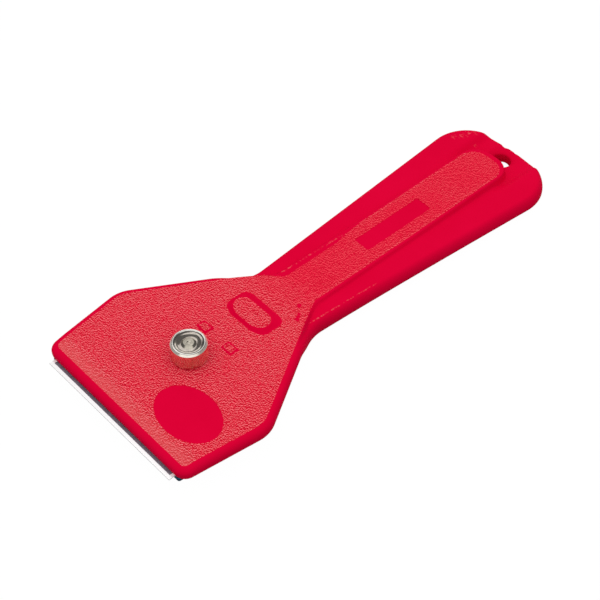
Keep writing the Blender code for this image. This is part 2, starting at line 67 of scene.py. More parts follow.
# Overall sizes and the clamp's pieces
LENGTH = 131.0
BODY_HEIGHT = 7.2
BLADE_WIDTH = 43.0
BLADE_DEPTH = 20.0
BLADE_BEVEL = 0.84
BLADE_EDGE = 0.16
BLADE_END_GRIND = 0.8
BLADE_REAR_CHAMFER = 0.04
BLADE_ROWS = 43
BLADE_BOTTOM = 4.05
BLADE_TOP = 4.35
PLATE_BOTTOM = 2.95
PLATE_TOP = 3.95
PLATE_FRONT = 1.7
PLATE_HALF = 22.6
PLATE_SWELL = 1.7
PLATE_REAR = 42.0
PLATE_TAIL_HALF = 8.0
PLATE_CORNER = 0.6
PLATE_EDGE_ROUND = 0.12
NUT_ACROSS_FLATS = 7.0
NUT_HEIGHT = 2.85
NUT_FACE_SHARE = 0.97
NUT_CHAMFER_ANGLE = 30
NUT_COUNTERSINK = 0.35
NUT_LENS_REACH = 1.2
SCREW_POSITION = 23.4
SHANK_RADIUS = 2.0
SHANK_RECESS = 0.25
BORE_RADIUS = 2.2
THREAD_BORE_RADIUS = 2.1
THREAD_PITCH = 0.7
THREAD_DEPTH = 0.3

# Thumb screw
KNOB_BOTTOM = 7.3
KNOB_TOP = 12.0
KNOB_RADIUS = 4.24
KNOB_CHAMFER = 0.45
KNOB_UNDER_CHAMFER = 0.12
KNOB_LIP = 0.41
KNURL_TEETH = 64
KNURL_DEPTH = 0.16
KNURL_SHARE = 0.45

# Moulded body
LIP_SETBACK = 1.5
FRONT_HALF = 24.2
FRONT_CORNER = 3.0
SHOULDER_HALF = 27.15
SHOULDER_POSITION = 23.74
SHOULDER_RADIUS = 8.1
EDGE_ROUND = 1.7
UNDER_EDGE_ROUND = 0.3
SEAT_FLOOR = 4.45
SEAT_HALF = 21.7
SEAT_MOUTH = 5.0
SEAT_REAR = 20.2
SEAT_CORNER = 0.25
SEAT_MOUTH_CORNER = 0.1
HEAD_UNDERSIDE = 4.2
FRONT_DROP = 0.55
FRONT_SLOPE = 5.0
NECK_POSITION = 50.9
NECK_HALF = 10.8
NECK_RADIUS = 10.0
NECK_BLEND_START = 42.0
NECK_BLEND_END = 51.0
HANDLE_HALF = 17.24
REAR_CORNER = 11.2
REAR_BOW = 1.1
REAR_BOW_RADIUS = 42.0
RIB_HALF = 6.25
RIB_END = 122.9
RIB_CORNER = 5.0
RIB_SWAY = 0.9
RIB_RECOVERY = 0.55
SWAY_START = 46.5
SWAY_FULL = 58.0
RECOVERY_START = 80.0
GRAIN_MARGIN = 0.45
GRAIN_END = 121.5
FAR_MARGIN_STEPS = 5
FAR_MARGIN_IN = (52.5, 56)
FAR_MARGIN_OUT = (70, 80)
WING_DROP_NECK = 1.65
WING_DROP_REAR = 1.8
SADDLE_DROP = 3.0
SADDLE_START = 112.9
SADDLE_HALF = 6.9
SADDLE_BANK = 2.6
WIDEST_DROP_NECK = 3.8
WIDEST_DROP_REAR = 4.7
WING_ROUND_NECK = 1.6
WING_ROUND_REAR = 1.8
BELLY_NECK = 1.8
BELLY_REAR = 8.0
HANGING_RADIUS = 2.6
HANGING_POSITION = 126.0
HOLE_RIM = 2.1
HOLE_RIM_DEPTH = 1.2
HOLE_RIM_FRONT = 0.35
HOLE_RIM_CURVE = 1.8
HOLE_RIM_RISE = 0.05

# Pads on the top, and the bare places for a mark
PAD_START = 37.9
PAD_END = 46.2
PAD_HALF = 6.8
PAD_BOW = 1.5
PAD_CORNER = 2.2
PAD_WALL_SIDE = 1.4
PAD_WALL_FRONT = 0.9
PAD_WALL_REAR = 2.1
PAD_FRONT_RISE = 0.6
PAD_REAR_RISE = 0.95
PAD_CROWN = 0.1
PAD_FOOT_SPREAD = 0.05
SMALL_PAD_INNER = 2.6
SMALL_PAD_OUTER = 6.1
SMALL_PAD_START = 30.1
SMALL_PAD_END = 32.75
SMALL_PAD_RISE = 0.18
SMALL_PAD_WALL = 0.5
SMALL_PAD_CORNER = 0.25
OVAL_CENTRE = (12.8, 12.5)
OVAL_HALF = (6.5, 9.0)
OVAL_DEPTH = 0.07
PLATE_PLACE = (76.4, 97.7, 2.4)
PLATE_PLACE_DEPTH = 0.1
PLATE_PLACE_CORNER = 0.5
# Smooth dents beside the neck: x, s, radius
DENTS = [(4.82, 52.27, 0.5), (5.1, 51.7, 0.35), (6.96, 50.22, 0.45), (7.5, 49.4, 0.5), (7.9, 48.75, 0.6)]
DENT_DEPTH = 0.09
# Chips in the rear edge: x, s, radius, depth
CHIPS = [
    (-9.4, 130.3, 0.9, 0.4), (-6.4, 130.6, 0.8, 0.3), (-2.6, 130.7, 1.2, 0.5),
    (1.0, 130.8, 0.7, 0.3), (5.3, 130.5, 0.9, 0.4), (8.2, 130.0, 0.8, 0.4),
]
CHIP_FADE = 0.3

# Hollow underside and the stop behind the clamp plate
STOP_FRONT = 42.3
STOP_HALF = 8.6
STOP_LENGTH = 9.0
FLOOR_RUN = 7.0
STOP_LIFT = 0.6
CORE_START = 56.0
CORE_END = 117.6
CORE_LONGEST = 11.0
CORE_RIB = 1.6
CORE_CORNER = 1.0
CORE_RIM = 2.5
CENTRE_CORE_HALF = 4.4
RIB_CEILING = 4.1
WING_CEILING = 2.6

# Overlap of joined shapes, reach of a cutter past a face, and distances that count as none
SINK = 0.4
OVERCUT = 1.0
WELD = 0.002
ON_OUTLINE = 1e-5
SLIVER = 0.0005
PAST_END = 1e-4
REAR_APEX = LENGTH + REAR_BOW_RADIUS * (1 / math.cos(math.atan2(REAR_BOW, HANDLE_HALF)) - 1)


def place(s):
    return s - LENGTH / 2


# Materials

# Grain of the mould: features to the metre, half the step across which a bump is lit (in metres),
# contrast and middle of the lit slope, and the share of its near side taken from its far side
GRAIN_SCALE = 2900
GRAIN_SHIFT = (-0.000056, 0.000050, 0.0)
GRAIN_CONTRAST = 7.5
GRAIN_LEVEL = 0.38
GRAIN_NEAR = 0.8


def new_material(name):
    made = bpy.data.materials.new(name)
    made.use_nodes = True
    return made, made.node_tree, made.node_tree.nodes["Principled BSDF"]


def node(tree, kind, **settings):
    made = tree.nodes.new(kind)
    for key, value in settings.items():
        if key in made.inputs:
            made.inputs[key].default_value = value
        else:
            setattr(made, key, value)
    return made


def feed(tree, socket, value):
    """Links an input to another socket, or sets it to a plain value."""
    if isinstance(value, bpy.types.NodeSocket):
        tree.links.new(value, socket)
    else:
        socket.default_value = value


def wire(tree, pairs):
    for socket, value in pairs:
        feed(tree, socket, value)


def maths(tree, operation, *values, **settings):
    made = node(tree, "ShaderNodeMath", operation=operation, **settings)
    wire(tree, zip(made.inputs, values))
    return made.outputs["Value"]


def map_range(tree, value, *limits):
    """A value carried over: from low, from high, to low, to high."""
    made = node(tree, "ShaderNodeMapRange")
    for label, given in zip(("Value", "From Min", "From Max", "To Min", "To Max"), (value, *limits)):
        feed(tree, made.inputs[label], given)
    return made.outputs["Result"]


def ramp_node(tree, source, stops):
    """Colour ramp; a stop is a position and a colour or a grey level."""
    made = tree.nodes.new("ShaderNodeValToRGB")
    elements = made.color_ramp.elements
    while len(elements) < len(stops):
        elements.new(0.5)
    for element, (position, colour) in zip(elements, stops):
        element.position = position
        element.color = (*(colour if isinstance(colour, tuple) else (colour,) * 3), 1.0)
    feed(tree, made.inputs["Fac"], source)
    return made.outputs["Color"]


def noise(tree, scale, detail=2.0, roughness=0.5, distortion=0.0, stretch=(1, 1, 1), shift=None):
    """Noise in object space; scale counts features to the metre."""
    coords = node(tree, "ShaderNodeTexCoord").outputs["Object"]
    if shift or stretch != (1, 1, 1):
        mapping = node(tree, "ShaderNodeMapping", Location=shift or (0, 0, 0))
        mapping.inputs["Scale"].default_value = stretch
        feed(tree, mapping.inputs["Vector"], coords)
        coords = mapping.outputs["Vector"]
    made = node(tree, "ShaderNodeTexNoise", Scale=scale, Detail=detail, Roughness=roughness,
                Distortion=distortion)
    feed(tree, made.inputs["Vector"], coords)
    return made.outputs["Fac"]


def mix(tree, factor, first, second):
    made = node(tree, "ShaderNodeMix", data_type="RGBA")
    for socket, value in ((0, factor), (6, first), (7, second)):
        feed(tree, made.inputs[socket], (*value, 1.0) if isinstance(value, tuple) else value)
    return made.outputs[2]


def bump(tree, shader, height, strength, distance):
    made = node(tree, "ShaderNodeBump", Strength=strength, Distance=distance)
    feed(tree, made.inputs["Height"], height)
    feed(tree, shader.inputs["Normal"], made.outputs["Normal"])


def grained_plastic():
    """Spark-eroded grain: close bumps with their light and shade painted into the colour, painted highlight
    on their far side and painted shade, in dark saturated red, on the near one.
    """
    made, tree, shader = new_material("grained_red_plastic")
    far, near = [noise(tree, GRAIN_SCALE, 2.0, 0.55, 0.3, shift=tuple(sign * a for a in GRAIN_SHIFT))
                 for sign in (1, -1)]
    slope = maths(tree, "MULTIPLY_ADD", near, -GRAIN_NEAR, far)
    middle = GRAIN_LEVEL - GRAIN_CONTRAST * (1 - GRAIN_NEAR) / 2
    grain = maths(tree, "MULTIPLY_ADD", slope, GRAIN_CONTRAST, middle)
    # Both ramps paint the grain's relief: low values as painted shade, high values as painted highlight; the
    # pale one has more contrast
    pale_relief_shading = ramp_node(tree, grain, [
        (0.0, (0.50, 0.0, 0.012)), (0.4, (0.79, 0.0, 0.028)), (0.7, (0.92, 0.010, 0.048)),
        (1.0, (1.0, 0.26, 0.275)),
    ])
    deep_relief_shading = ramp_node(tree, grain, [
        (0.0, (0.60, 0.0, 0.020)), (0.5, (0.80, 0.0, 0.035)), (0.78, (0.86, 0.0, 0.040)),
        (1.0, (1.0, 0.066, 0.10)),
    ])
    # Paleness of the grain from the body's attribute: paler on the head and its front, and a painted
    # highlight band along the rib's edges
    wear_and_highlight = node(tree, "ShaderNodeAttribute", attribute_name="grain_wear_and_highlight").outputs["Fac"]
    cloud = ramp_node(tree, noise(tree, 120, 3.0, 0.55), [(0.35, 0.0), (0.65, 0.12)])
    colour = mix(tree, maths(tree, "ADD", wear_and_highlight, cloud, use_clamp=True), deep_relief_shading, pale_relief_shading)
    rubbed = map_range(tree, wear_and_highlight, 0.8, 1.3, 0.0, 0.5)
    feed(tree, shader.inputs["Base Color"], mix(tree, rubbed, colour, (0.77, 0.105, 0.11)))
    feed(tree, shader.inputs["Roughness"], ramp_node(tree, grain, [(0.2, 0.62), (0.8, 0.45)]))
    shader.inputs["Specular IOR Level"].default_value = 0.06
    bump(tree, shader, far, 0.4, 0.00012)
    return made


def smooth_plastic():
    """Polished mould faces: saturated dark red, with pale scuffs and painted highlight lines where the
    attribute asks for them.
    """
    made, tree, shader = new_material("smooth_red_plastic")
    cloud = noise(tree, 90, 3.0, 0.55)
    colour = ramp_node(tree, cloud, [(0.3, (0.715, 0.0, 0.034)), (0.7, (0.745, 0.0004, 0.038))])
    scuff_and_highlight = node(tree, "ShaderNodeAttribute", attribute_name="scuff_and_highlight").outputs["Fac"]
    speckle = ramp_node(tree, noise(tree, 1100, 3.0, 0.65, 0.4), [(0.42, 0.0), (0.60, 1.0)])
    wear_and_highlight = maths(tree, "SUBTRACT", maths(tree, "ADD", scuff_and_highlight, speckle), 1.0, use_clamp=True)
    feed(tree, shader.inputs["Base Color"], mix(tree, wear_and_highlight, colour, (0.83, 0.12, 0.13)))
    rough = ramp_node(tree, noise(tree, 420, 3.0, 0.6), [(0.3, 0.34), (0.7, 0.46)])
    feed(tree, shader.inputs["Roughness"], rough)
    shader.inputs["Specular IOR Level"].default_value = 0.006
    bump(tree, shader, noise(tree, 700, 2.0), 0.06, 0.0001)
    return made


def metal(name, dark, light, roughness, stretch, scale=900, metallic=1.0):
    """Metal whose colour, gloss and fine bump follow one stretched noise."""
    made, tree, shader = new_material(name)
    grain = noise(tree, scale, 4.0, 0.6, stretch=stretch)
    feed(tree, shader.inputs["Base Color"], ramp_node(tree, grain, [(0.3, dark), (0.7, light)]))
    low, high = roughness
    feed(tree, shader.inputs["Roughness"], ramp_node(tree, grain, [(0.3, high), (0.7, low)]))
    shader.inputs["Metallic"].default_value = metallic
    bump(tree, shader, grain, 0.08, 0.00003)
    return made


GRAINED = grained_plastic()
SMOOTH = smooth_plastic()
# Near-white and mostly diffuse: a painted highlight on the blade's ground bevel
GROUND_STEEL_HIGHLIGHT = metal("ground_steel_painted_highlight", (0.95, 0.95, 0.96), (1.0, 1.0, 1.0), (0.06, 0.14), (0.03, 1, 1),
                     metallic=0.4)
# Dark: painted shade along the facet of the cutting edge
EDGE_STEEL_SHADE = metal("edge_steel_painted_shade", (0.10, 0.10, 0.11), (0.4, 0.4, 0.4), (0.2, 0.4), (0.3, 1, 1))
# Dark grey-blue, partly diffuse: painted shade and dark reflection on the blade's flat below the body's lip
BLADE_FLAT_SHADE = metal("blade_flat_painted_shade", (0.13, 0.125, 0.16), (0.21, 0.205, 0.25), (0.3, 0.5), (1, 0.05, 1),
                    metallic=0.2)
# Near-white and mostly diffuse: a painted highlight on the blade's ground ends
GROUND_END_HIGHLIGHT = metal("ground_end", (0.80, 0.80, 0.82), (0.95, 0.95, 0.95), (0.3, 0.5), (1, 1, 1), metallic=0.1)
# Dark teal: painted shade and dark reflection on the clamp plate, seen at its corner below the head
PLATE_SHADE_STEEL = metal("sheet_steel_painted_shade", (0.01, 0.08, 0.15), (0.025, 0.14, 0.23), (0.3, 0.5), (1, 0.08, 1))
NUT_STEEL = metal("zinc_plated_steel", (0.50, 0.50, 0.46), (0.72, 0.72, 0.68), (0.25, 0.45), (1, 1, 1))
NICKEL = metal("nickel_plate", (0.72, 0.69, 0.62), (0.92, 0.90, 0.84), (0.10, 0.26), (1, 1, 0.2))
# Nearly black: painted shade in the crease between the knob's dish and its lip
NICKEL_CREASE_SHADE = metal("nickel_painted_crease_shade", (0.03, 0.026, 0.03), (0.22, 0.20, 0.18), (0.2, 0.45), (1, 0.3, 1))
SATIN_NICKEL = metal("satin_nickel", (0.38, 0.35, 0.29), (0.60, 0.55, 0.46), (0.12, 0.25), (1, 1, 0.5))
# Yellower than the nickel: a painted warm reflection of the red body and the surroundings on the knurl
KNURL_NICKEL_WARM = metal("knurl_nickel_painted_reflection", (0.76, 0.74, 0.54), (0.95, 0.93, 0.74), (0.10, 0.26), (1, 1, 0.2))
# Nickel with a pale diffuse share: the brightness of the knob's rim chamfer is partly painted highlight
RIM_NICKEL_HIGHLIGHT = metal("rim_nickel_painted_highlight", (0.78, 0.74, 0.64), (0.95, 0.92, 0.82), (0.14, 0.26), (1, 1, 0.5),
                   metallic=0.68)
# Darker than the nickel: painted shade in the knob's shallow dish
DISH_NICKEL_SHADE = metal("dish_nickel_painted_shade", (0.42, 0.37, 0.34), (0.66, 0.60, 0.51), (0.08, 0.16), (1, 1, 0.5), 1500)


# Shapes


def add_object(name, bm, skins, scale=MM):
    mesh = bpy.data.meshes.new(name)
    bmesh.ops.scale(bm, vec=(scale, scale, scale), verts=bm.verts)
    bm.to_mesh(mesh)
    bm.free()
    for skin in skins:
        mesh.materials.append(skin)
    obj = bpy.data.objects.new(name, mesh)
    bpy.context.scene.collection.objects.link(obj)
    return obj


def settled(obj):
    """Swaps an object's mesh for the one that its modifiers give, and removes them."""
    graph = bpy.context.evaluated_depsgraph_get()
    mesh = bpy.data.meshes.new_from_object(obj.evaluated_get(graph))
    old = obj.data
    obj.modifiers.clear()
    obj.data = mesh
    mesh.name = obj.name
    bpy.data.meshes.remove(old)
    return obj


def boolean(obj, tool, operation):
    modifier = obj.modifiers.new(tool.name, "BOOLEAN")
    modifier.operation = operation
    modifier.solver = "MANIFOLD"
    modifier.material_mode = "TRANSFER"
    modifier.object = tool


def discard(*objects):
    for obj in objects:
        bpy.data.objects.remove(obj, do_unlink=True)


def soften(obj, degrees):
    obj.data.shade_smooth()
    obj.data.set_sharp_from_angle(angle=math.radians(degrees))


def rounded_path(corners, steps):
    """Points along straight runs joined by arcs. A corner is (s, x, radius); the ends stay sharp."""
    points = [Vector(corners[0][:2])]
    for before, (s, x, radius), after in zip(corners, corners[1:], corners[2:]):
        corner = Vector((s, x))
        back = (Vector(before[:2]) - corner).normalized()
        ahead = (Vector(after[:2]) - corner).normalized()
        half = back.angle(ahead) / 2
        centre = corner + (back + ahead).normalized() * radius / math.sin(half)
        start = corner + back * radius / math.tan(half) - centre
        end = corner + ahead * radius / math.tan(half) - centre
        turn = math.copysign(math.pi - 2 * half, start.cross(end))
        for step in range(steps + 1):
            points.append(centre + Matrix.Rotation(turn * step / steps, 2) @ start)
    points.append(Vector(corners[-1][:2]))
    return points


def ring(half_corners, steps):
    """Closed symmetrical outline from the corners of its +X half, both ends on the centre line."""
    first, *middle, last = half_corners
    mirrored = [(s, -x, radius) for s, x, radius in reversed(middle)]
    path = rounded_path([first, *middle, last], steps)[1:-1]
    return path + rounded_path([last, *mirrored, first], steps)[1:-1]


def closed_path(corners, steps):
    return rounded_path([corners[-1], *corners, corners[0]], steps)[1:-1]


def oblong(start, end, one_side, other_side, corner, steps=6):
    return closed_path([(start, one_side, corner), (start, other_side, corner),
                        (end, other_side, corner), (end, one_side, corner)], steps)


def add_prism(bm, outline, low, high):
    lower = [bm.verts.new((point.y, place(point.x), low)) for point in outline]
    upper = [bm.verts.new((point.y, place(point.x), high)) for point in outline]
    for a, b, c, d in zip(lower, lower[1:] + lower[:1], upper[1:] + upper[:1], upper):
        bm.faces.new((a, b, c, d))
    bm.faces.new(lower)
    bm.faces.new(upper)
    bmesh.ops.recalc_face_normals(bm, faces=bm.faces)


def prism(name, outline, low, high, skin):
    bm = bmesh.new()
    add_prism(bm, outline, low, high)
    return add_object(name, bm, [skin])


def cylinder(name, radius, s, low, high, skin, segments=96):
    bm = bmesh.new()
    bmesh.ops.create_cone(
        bm, cap_ends=True, segments=segments, radius1=radius, radius2=radius, depth=high - low,
        matrix=Matrix.Translation((0, place(s), (low + high) / 2)),
    )
    return add_object(name, bm, [skin])


def turned(name, profile, s, skins, segments=128):
    """Solid of revolution; the profile is (radius, height, material) from the top to the bottom."""
    bm = bmesh.new()
    rings = []
    for radius, height, _ in profile:
        if radius == 0:
            rings.append([bm.verts.new((0, place(s), height))] * segments)
            continue
        turn = [2 * math.pi * step / segments for step in range(segments)]
        rings.append([bm.verts.new((radius * math.cos(a), place(s) + radius * math.sin(a), height))
                      for a in turn])
    for index, (upper, lower) in enumerate(zip(rings, rings[1:])):
        for step in range(segments):
            corners = [upper[step], lower[step], lower[step - 1], upper[step - 1]]
            corners = list(dict.fromkeys(corners))
            bm.faces.new(corners).material_index = profile[index][2]
    bmesh.ops.recalc_face_normals(bm, faces=bm.faces)
    return add_object(name, bm, skins)


def joined(name, objects):
    """One object from several, each keeping its materials."""
    bm = bmesh.new()
    skins = []
    for obj in objects:
        count = len(bm.faces)
        bm.from_mesh(obj.data)
        bm.faces.ensure_lookup_table()
        for index in range(count, len(bm.faces)):
            skin = obj.data.materials[bm.faces[index].material_index]
            if skin not in skins:
                skins.append(skin)
            bm.faces[index].material_index = skins.index(skin)
    discard(*objects)
    return add_object(name, bm, skins, scale=1.0)


# Plan outline of the body, and the flat top one edge radius inside it

OUTLINE = rounded_path([
    (LIP_SETBACK, 0, 0),
    (LIP_SETBACK, FRONT_HALF, FRONT_CORNER),
    (SHOULDER_POSITION, SHOULDER_HALF, SHOULDER_RADIUS),
    (NECK_POSITION, NECK_HALF, NECK_RADIUS),
    (REAR_APEX - REAR_BOW, HANDLE_HALF, REAR_CORNER),
    (REAR_APEX, 0, REAR_BOW_RADIUS),
    (REAR_APEX - REAR_BOW, -HANDLE_HALF, 0),
], steps=28)
OUTLINE_POINTS = np.array([tuple(point) for point in OUTLINE if point.y > -WELD])
OUTLINE_S, OUTLINE_X = OUTLINE_POINTS[1:].T
SEGMENT_START = OUTLINE_POINTS[:-1]
SEGMENT_RUN = np.diff(OUTLINE_POINTS, axis=0)


def crossing(point, direction, other, along):
    return point + direction * (other - point).cross(along) / direction.cross(along)


FRONT = Vector((LIP_SETBACK, FRONT_HALF))
SHOULDER = Vector((SHOULDER_POSITION, SHOULDER_HALF))
NECK = Vector((NECK_POSITION, NECK_HALF))
SIDE_RUN = (SHOULDER - FRONT).normalized()
TAPER_RUN = (NECK - SHOULDER).normalized()
SIDE_INSET = FRONT + Vector((SIDE_RUN.y, -SIDE_RUN.x)) * EDGE_ROUND
TAPER_INSET = SHOULDER + Vector((TAPER_RUN.y, -TAPER_RUN.x)) * EDGE_ROUND
FLAT_START = LIP_SETBACK + EDGE_ROUND
FLAT_FRONT = crossing(Vector((FLAT_START, 0)), Vector((0, 1)), SIDE_INSET, SIDE_RUN)
FLAT_SHOULDER = crossing(SIDE_INSET, SIDE_RUN, TAPER_INSET, TAPER_RUN)
FLAT_TIP = crossing(TAPER_INSET, TAPER_RUN, Vector((0, 0)), Vector((1, 0)))
FLAT_NECK = crossing(TAPER_INSET, TAPER_RUN, Vector((0, RIB_HALF)), Vector((1, 0)))
FLAT = rounded_path([
    (FLAT_START, 0, 0),
    (*FLAT_FRONT, FRONT_CORNER - EDGE_ROUND),
    (*FLAT_SHOULDER, SHOULDER_RADIUS - EDGE_ROUND),
    (*FLAT_TIP, 0),
], steps=28)[1:]
FLAT_S, FLAT_X = np.array([tuple(point) for point in FLAT]).T

# Distance outside the rib's edge, and the share of the fall to the wing reached there
WALL_OFFSETS = np.array([-0.45, -0.2, -0.05, 0.06, 0.15, 0.24, 0.36, 0.50, 0.62, 0.72, 0.82, 0.95])
WALL_SHARES = np.array([0, 0.006, 0.025, 0.065, 0.14, 0.24, 0.44, 0.70, 0.86, 0.94, 0.98, 1.0])


def ramp(s, start, end):
    t = np.clip((s - start) / (end - start), 0, 1)
    return t * t * (3 - 2 * t)


def outline_half(s):
    return float(np.interp(s, OUTLINE_S, OUTLINE_X))


def rib_distance(s, x):
    """Signed distance outside the rib's U-ended outline."""
    across = x - (RIB_HALF - RIB_CORNER)
    along = s - (RIB_END - RIB_CORNER)
    outside = np.hypot(np.maximum(across, 0), np.maximum(along, 0))
    return outside + np.minimum(np.maximum(across, along), 0) - RIB_CORNER


def u_half(s, end, corner):
    """Half width of a U-ended shape that keeps the rib's corner centres."""
    if s > end + PAST_END:
        return 0.0
    along = min(max(s - (end - corner), 0), corner)
    return RIB_HALF - RIB_CORNER + math.sqrt(corner * corner - along * along)


def rib_half(s, grown):
    return u_half(s, RIB_END + grown, RIB_CORNER + grown)


def grain_half(s):
    """Half width of the rib's grain, which stops further inside the rib's end than its sides."""
    return u_half(s, GRAIN_END, RIB_CORNER - GRAIN_MARGIN)


def far_margin(s):
    """Share of the wider smooth margin along the rib's far edge, from the neck on."""
    return ramp(s, *FAR_MARGIN_IN) * (1 - ramp(s, *FAR_MARGIN_OUT))


def edge_distance(s, x):
    """Distance inside the plan outline, for one s and many x."""
    gap = np.stack([np.full_like(x, s), x], 1)[:, None] - SEGMENT_START[None]
    length = np.maximum((SEGMENT_RUN ** 2).sum(1), 1e-9)
    share = np.clip((gap * SEGMENT_RUN).sum(2) / length, 0, 1)
    nearest = np.linalg.norm(gap - SEGMENT_RUN * share[..., None], axis=2).min(1)
    return np.where(nearest > ON_OUTLINE, nearest, 0.0)


def quarter(share):
    inside = np.clip(1 - share, 0, 1)
    return np.sqrt(1 - inside * inside)


def blended(s, on_head, at_neck, at_rear):
    """A size that has one value on the head and runs evenly along the handle."""
    along = np.clip((s - NECK_BLEND_END) / (RIB_END - NECK_BLEND_END), 0, 1)
    on_handle = at_neck + (at_rear - at_neck) * along
    return on_head + (on_handle - on_head) * ramp(s, NECK_BLEND_START, NECK_BLEND_END)


def edge_width(s):
    return blended(s, EDGE_ROUND, WING_ROUND_NECK, WING_ROUND_REAR)


def widest_height(s):
    return BODY_HEIGHT - blended(s, EDGE_ROUND, WIDEST_DROP_NECK, WIDEST_DROP_REAR)


def rib_drop(s):
    """Fall of the rib's top below the head's top: it sways down behind the neck."""
    return RIB_SWAY * ramp(s, SWAY_START, SWAY_FULL) - RIB_RECOVERY * ramp(s, RECOVERY_START, RIB_END)


def flat_half(s):
    return float(np.interp(s, FLAT_S, FLAT_X))


def top_height(s, x):
    """Height of the upper skin, for one s and many x on the +X half."""
    beyond = rib_distance(s, x)
    if s < FLAT_TIP.x:
        beyond = np.minimum(beyond, (x - flat_half(s)) * TAPER_RUN.x)
    wing = blended(s, 0, WING_DROP_NECK, WING_DROP_REAR)
    hollow = ramp(s, SADDLE_START, RIB_END) * (1 - ramp(x, SADDLE_HALF, SADDLE_HALF + SADDLE_BANK))
    floor = wing + (SADDLE_DROP - wing) * hollow
    rib = rib_drop(s)
    slope = FRONT_DROP * min(max(1 - (s - LIP_SETBACK) / FRONT_SLOPE, 0), 1)
    low = widest_height(s)
    full = BODY_HEIGHT - rib - (floor - rib) * np.interp(beyond, WALL_OFFSETS, WALL_SHARES) - slope
    return low + (full - low) * quarter(edge_distance(s, x) / edge_width(s))


def chipped(s, x):
    """Depth of the chips in the rear edge, for one s and many x; none at the outline itself."""
    depth = np.zeros_like(x)
    for chip_x, chip_s, radius, deepest in CHIPS:
        away = np.hypot(x - chip_x, s - chip_s) / radius
        depth = np.maximum(depth, deepest * np.clip(1 - away * away, 0, 1))
    return depth * np.clip(edge_distance(s, np.abs(x)) / CHIP_FADE, 0, 1)


def bottom_height(s, x):
    width = blended(s, UNDER_EDGE_ROUND, BELLY_NECK, BELLY_REAR)
    floor = HEAD_UNDERSIDE * (1 - ramp(s, STOP_FRONT, STOP_FRONT + FLOOR_RUN))
    high = widest_height(s)
    return high - (high - floor) * quarter(edge_distance(s, x) / width)


# Columns across the body's parts and how they crowd towards the head's edge, and the least and the
# longest step between stations along it
FLAT_STEPS = 22
WING_STEPS = 9
ROUND_STEPS = 16
HEAD_CROWDING = 1.5
LEAST_STEP = 0.03
LONGEST_STEP = 1.3


def columns(s):
    """Places across the +X half: the flat, the wall beside it, the wing and its rounding."""
    half = outline_half(s)
    flat = min(flat_half(s), half) if s < FLAT_TIP.x else 0.0
    blend = float(ramp(s, NECK_BLEND_START, NECK_BLEND_END))
    saddle = min(SADDLE_HALF, half / 2) * float(ramp(s, RIB_END + WALL_OFFSETS[-1], HANGING_POSITION))
    inner = max(flat, grain_half(s), saddle)
    walls = [max(min(flat + GRAIN_MARGIN + grown, half), rib_half(s, grown), saddle)
             for grown in WALL_OFFSETS]
    walls[0] = inner
    bank = [SADDLE_HALF + SADDLE_BANK * share for share in (0, 0.2, 0.4, 0.6, 0.8, 1)]
    walls += [min(max(value, walls[-1]), half) for value in bank]
    crest = max(half - float(edge_width(s)), walls[-1] + (half - walls[-1]) / 3)
    wing = [walls[-1] + (crest - walls[-1]) * step / WING_STEPS for step in range(1, WING_STEPS + 1)]
    edge = [crest + (half - crest) * math.sin(math.pi / 2 * step / ROUND_STEPS)
            for step in range(1, ROUND_STEPS + 1)]
    handle = walls + wing + edge
    steps = len(handle) - 1
    head = [half - (half - inner) * (1 - step / steps) ** HEAD_CROWDING for step in range(steps + 1)]
    across = [(1 - blend) * a + blend * b for a, b in zip(head, handle)]
    return np.array([inner * step / FLAT_STEPS for step in range(FLAT_STEPS)] + across)


def stations():
    """Places along the body, close together where its shape turns."""
    marks = list(OUTLINE_S) + list(FLAT_S) + [LIP_SETBACK + FRONT_SLOPE, FLAT_NECK.x]
    marks += list(LIP_SETBACK + EDGE_ROUND * (1 - np.cos(np.linspace(0, math.pi / 2, 18))))
    marks += list(RIB_END + WALL_OFFSETS)
    corner = RIB_CORNER - GRAIN_MARGIN
    marks += list(GRAIN_END - corner * (1 - np.sin(np.linspace(0, math.pi / 2, 22))))
    marks += list(np.linspace(NECK_BLEND_START, NECK_BLEND_END, 34))
    marks += list(LENGTH - WING_ROUND_REAR * (1 - np.sin(np.linspace(0, math.pi / 2, 24))))
    marks = sorted(mark for mark in marks if LIP_SETBACK <= mark <= LENGTH)
    kept = [LIP_SETBACK]
    for mark in marks + [LENGTH]:
        gap = mark - kept[-1]
        if gap < LEAST_STEP and mark < LENGTH:
            continue
        fill = int(gap / LONGEST_STEP)
        kept += [kept[-1] + gap * step / (fill + 1) for step in range(1, fill + 1)]
        kept.append(mark)
    return kept


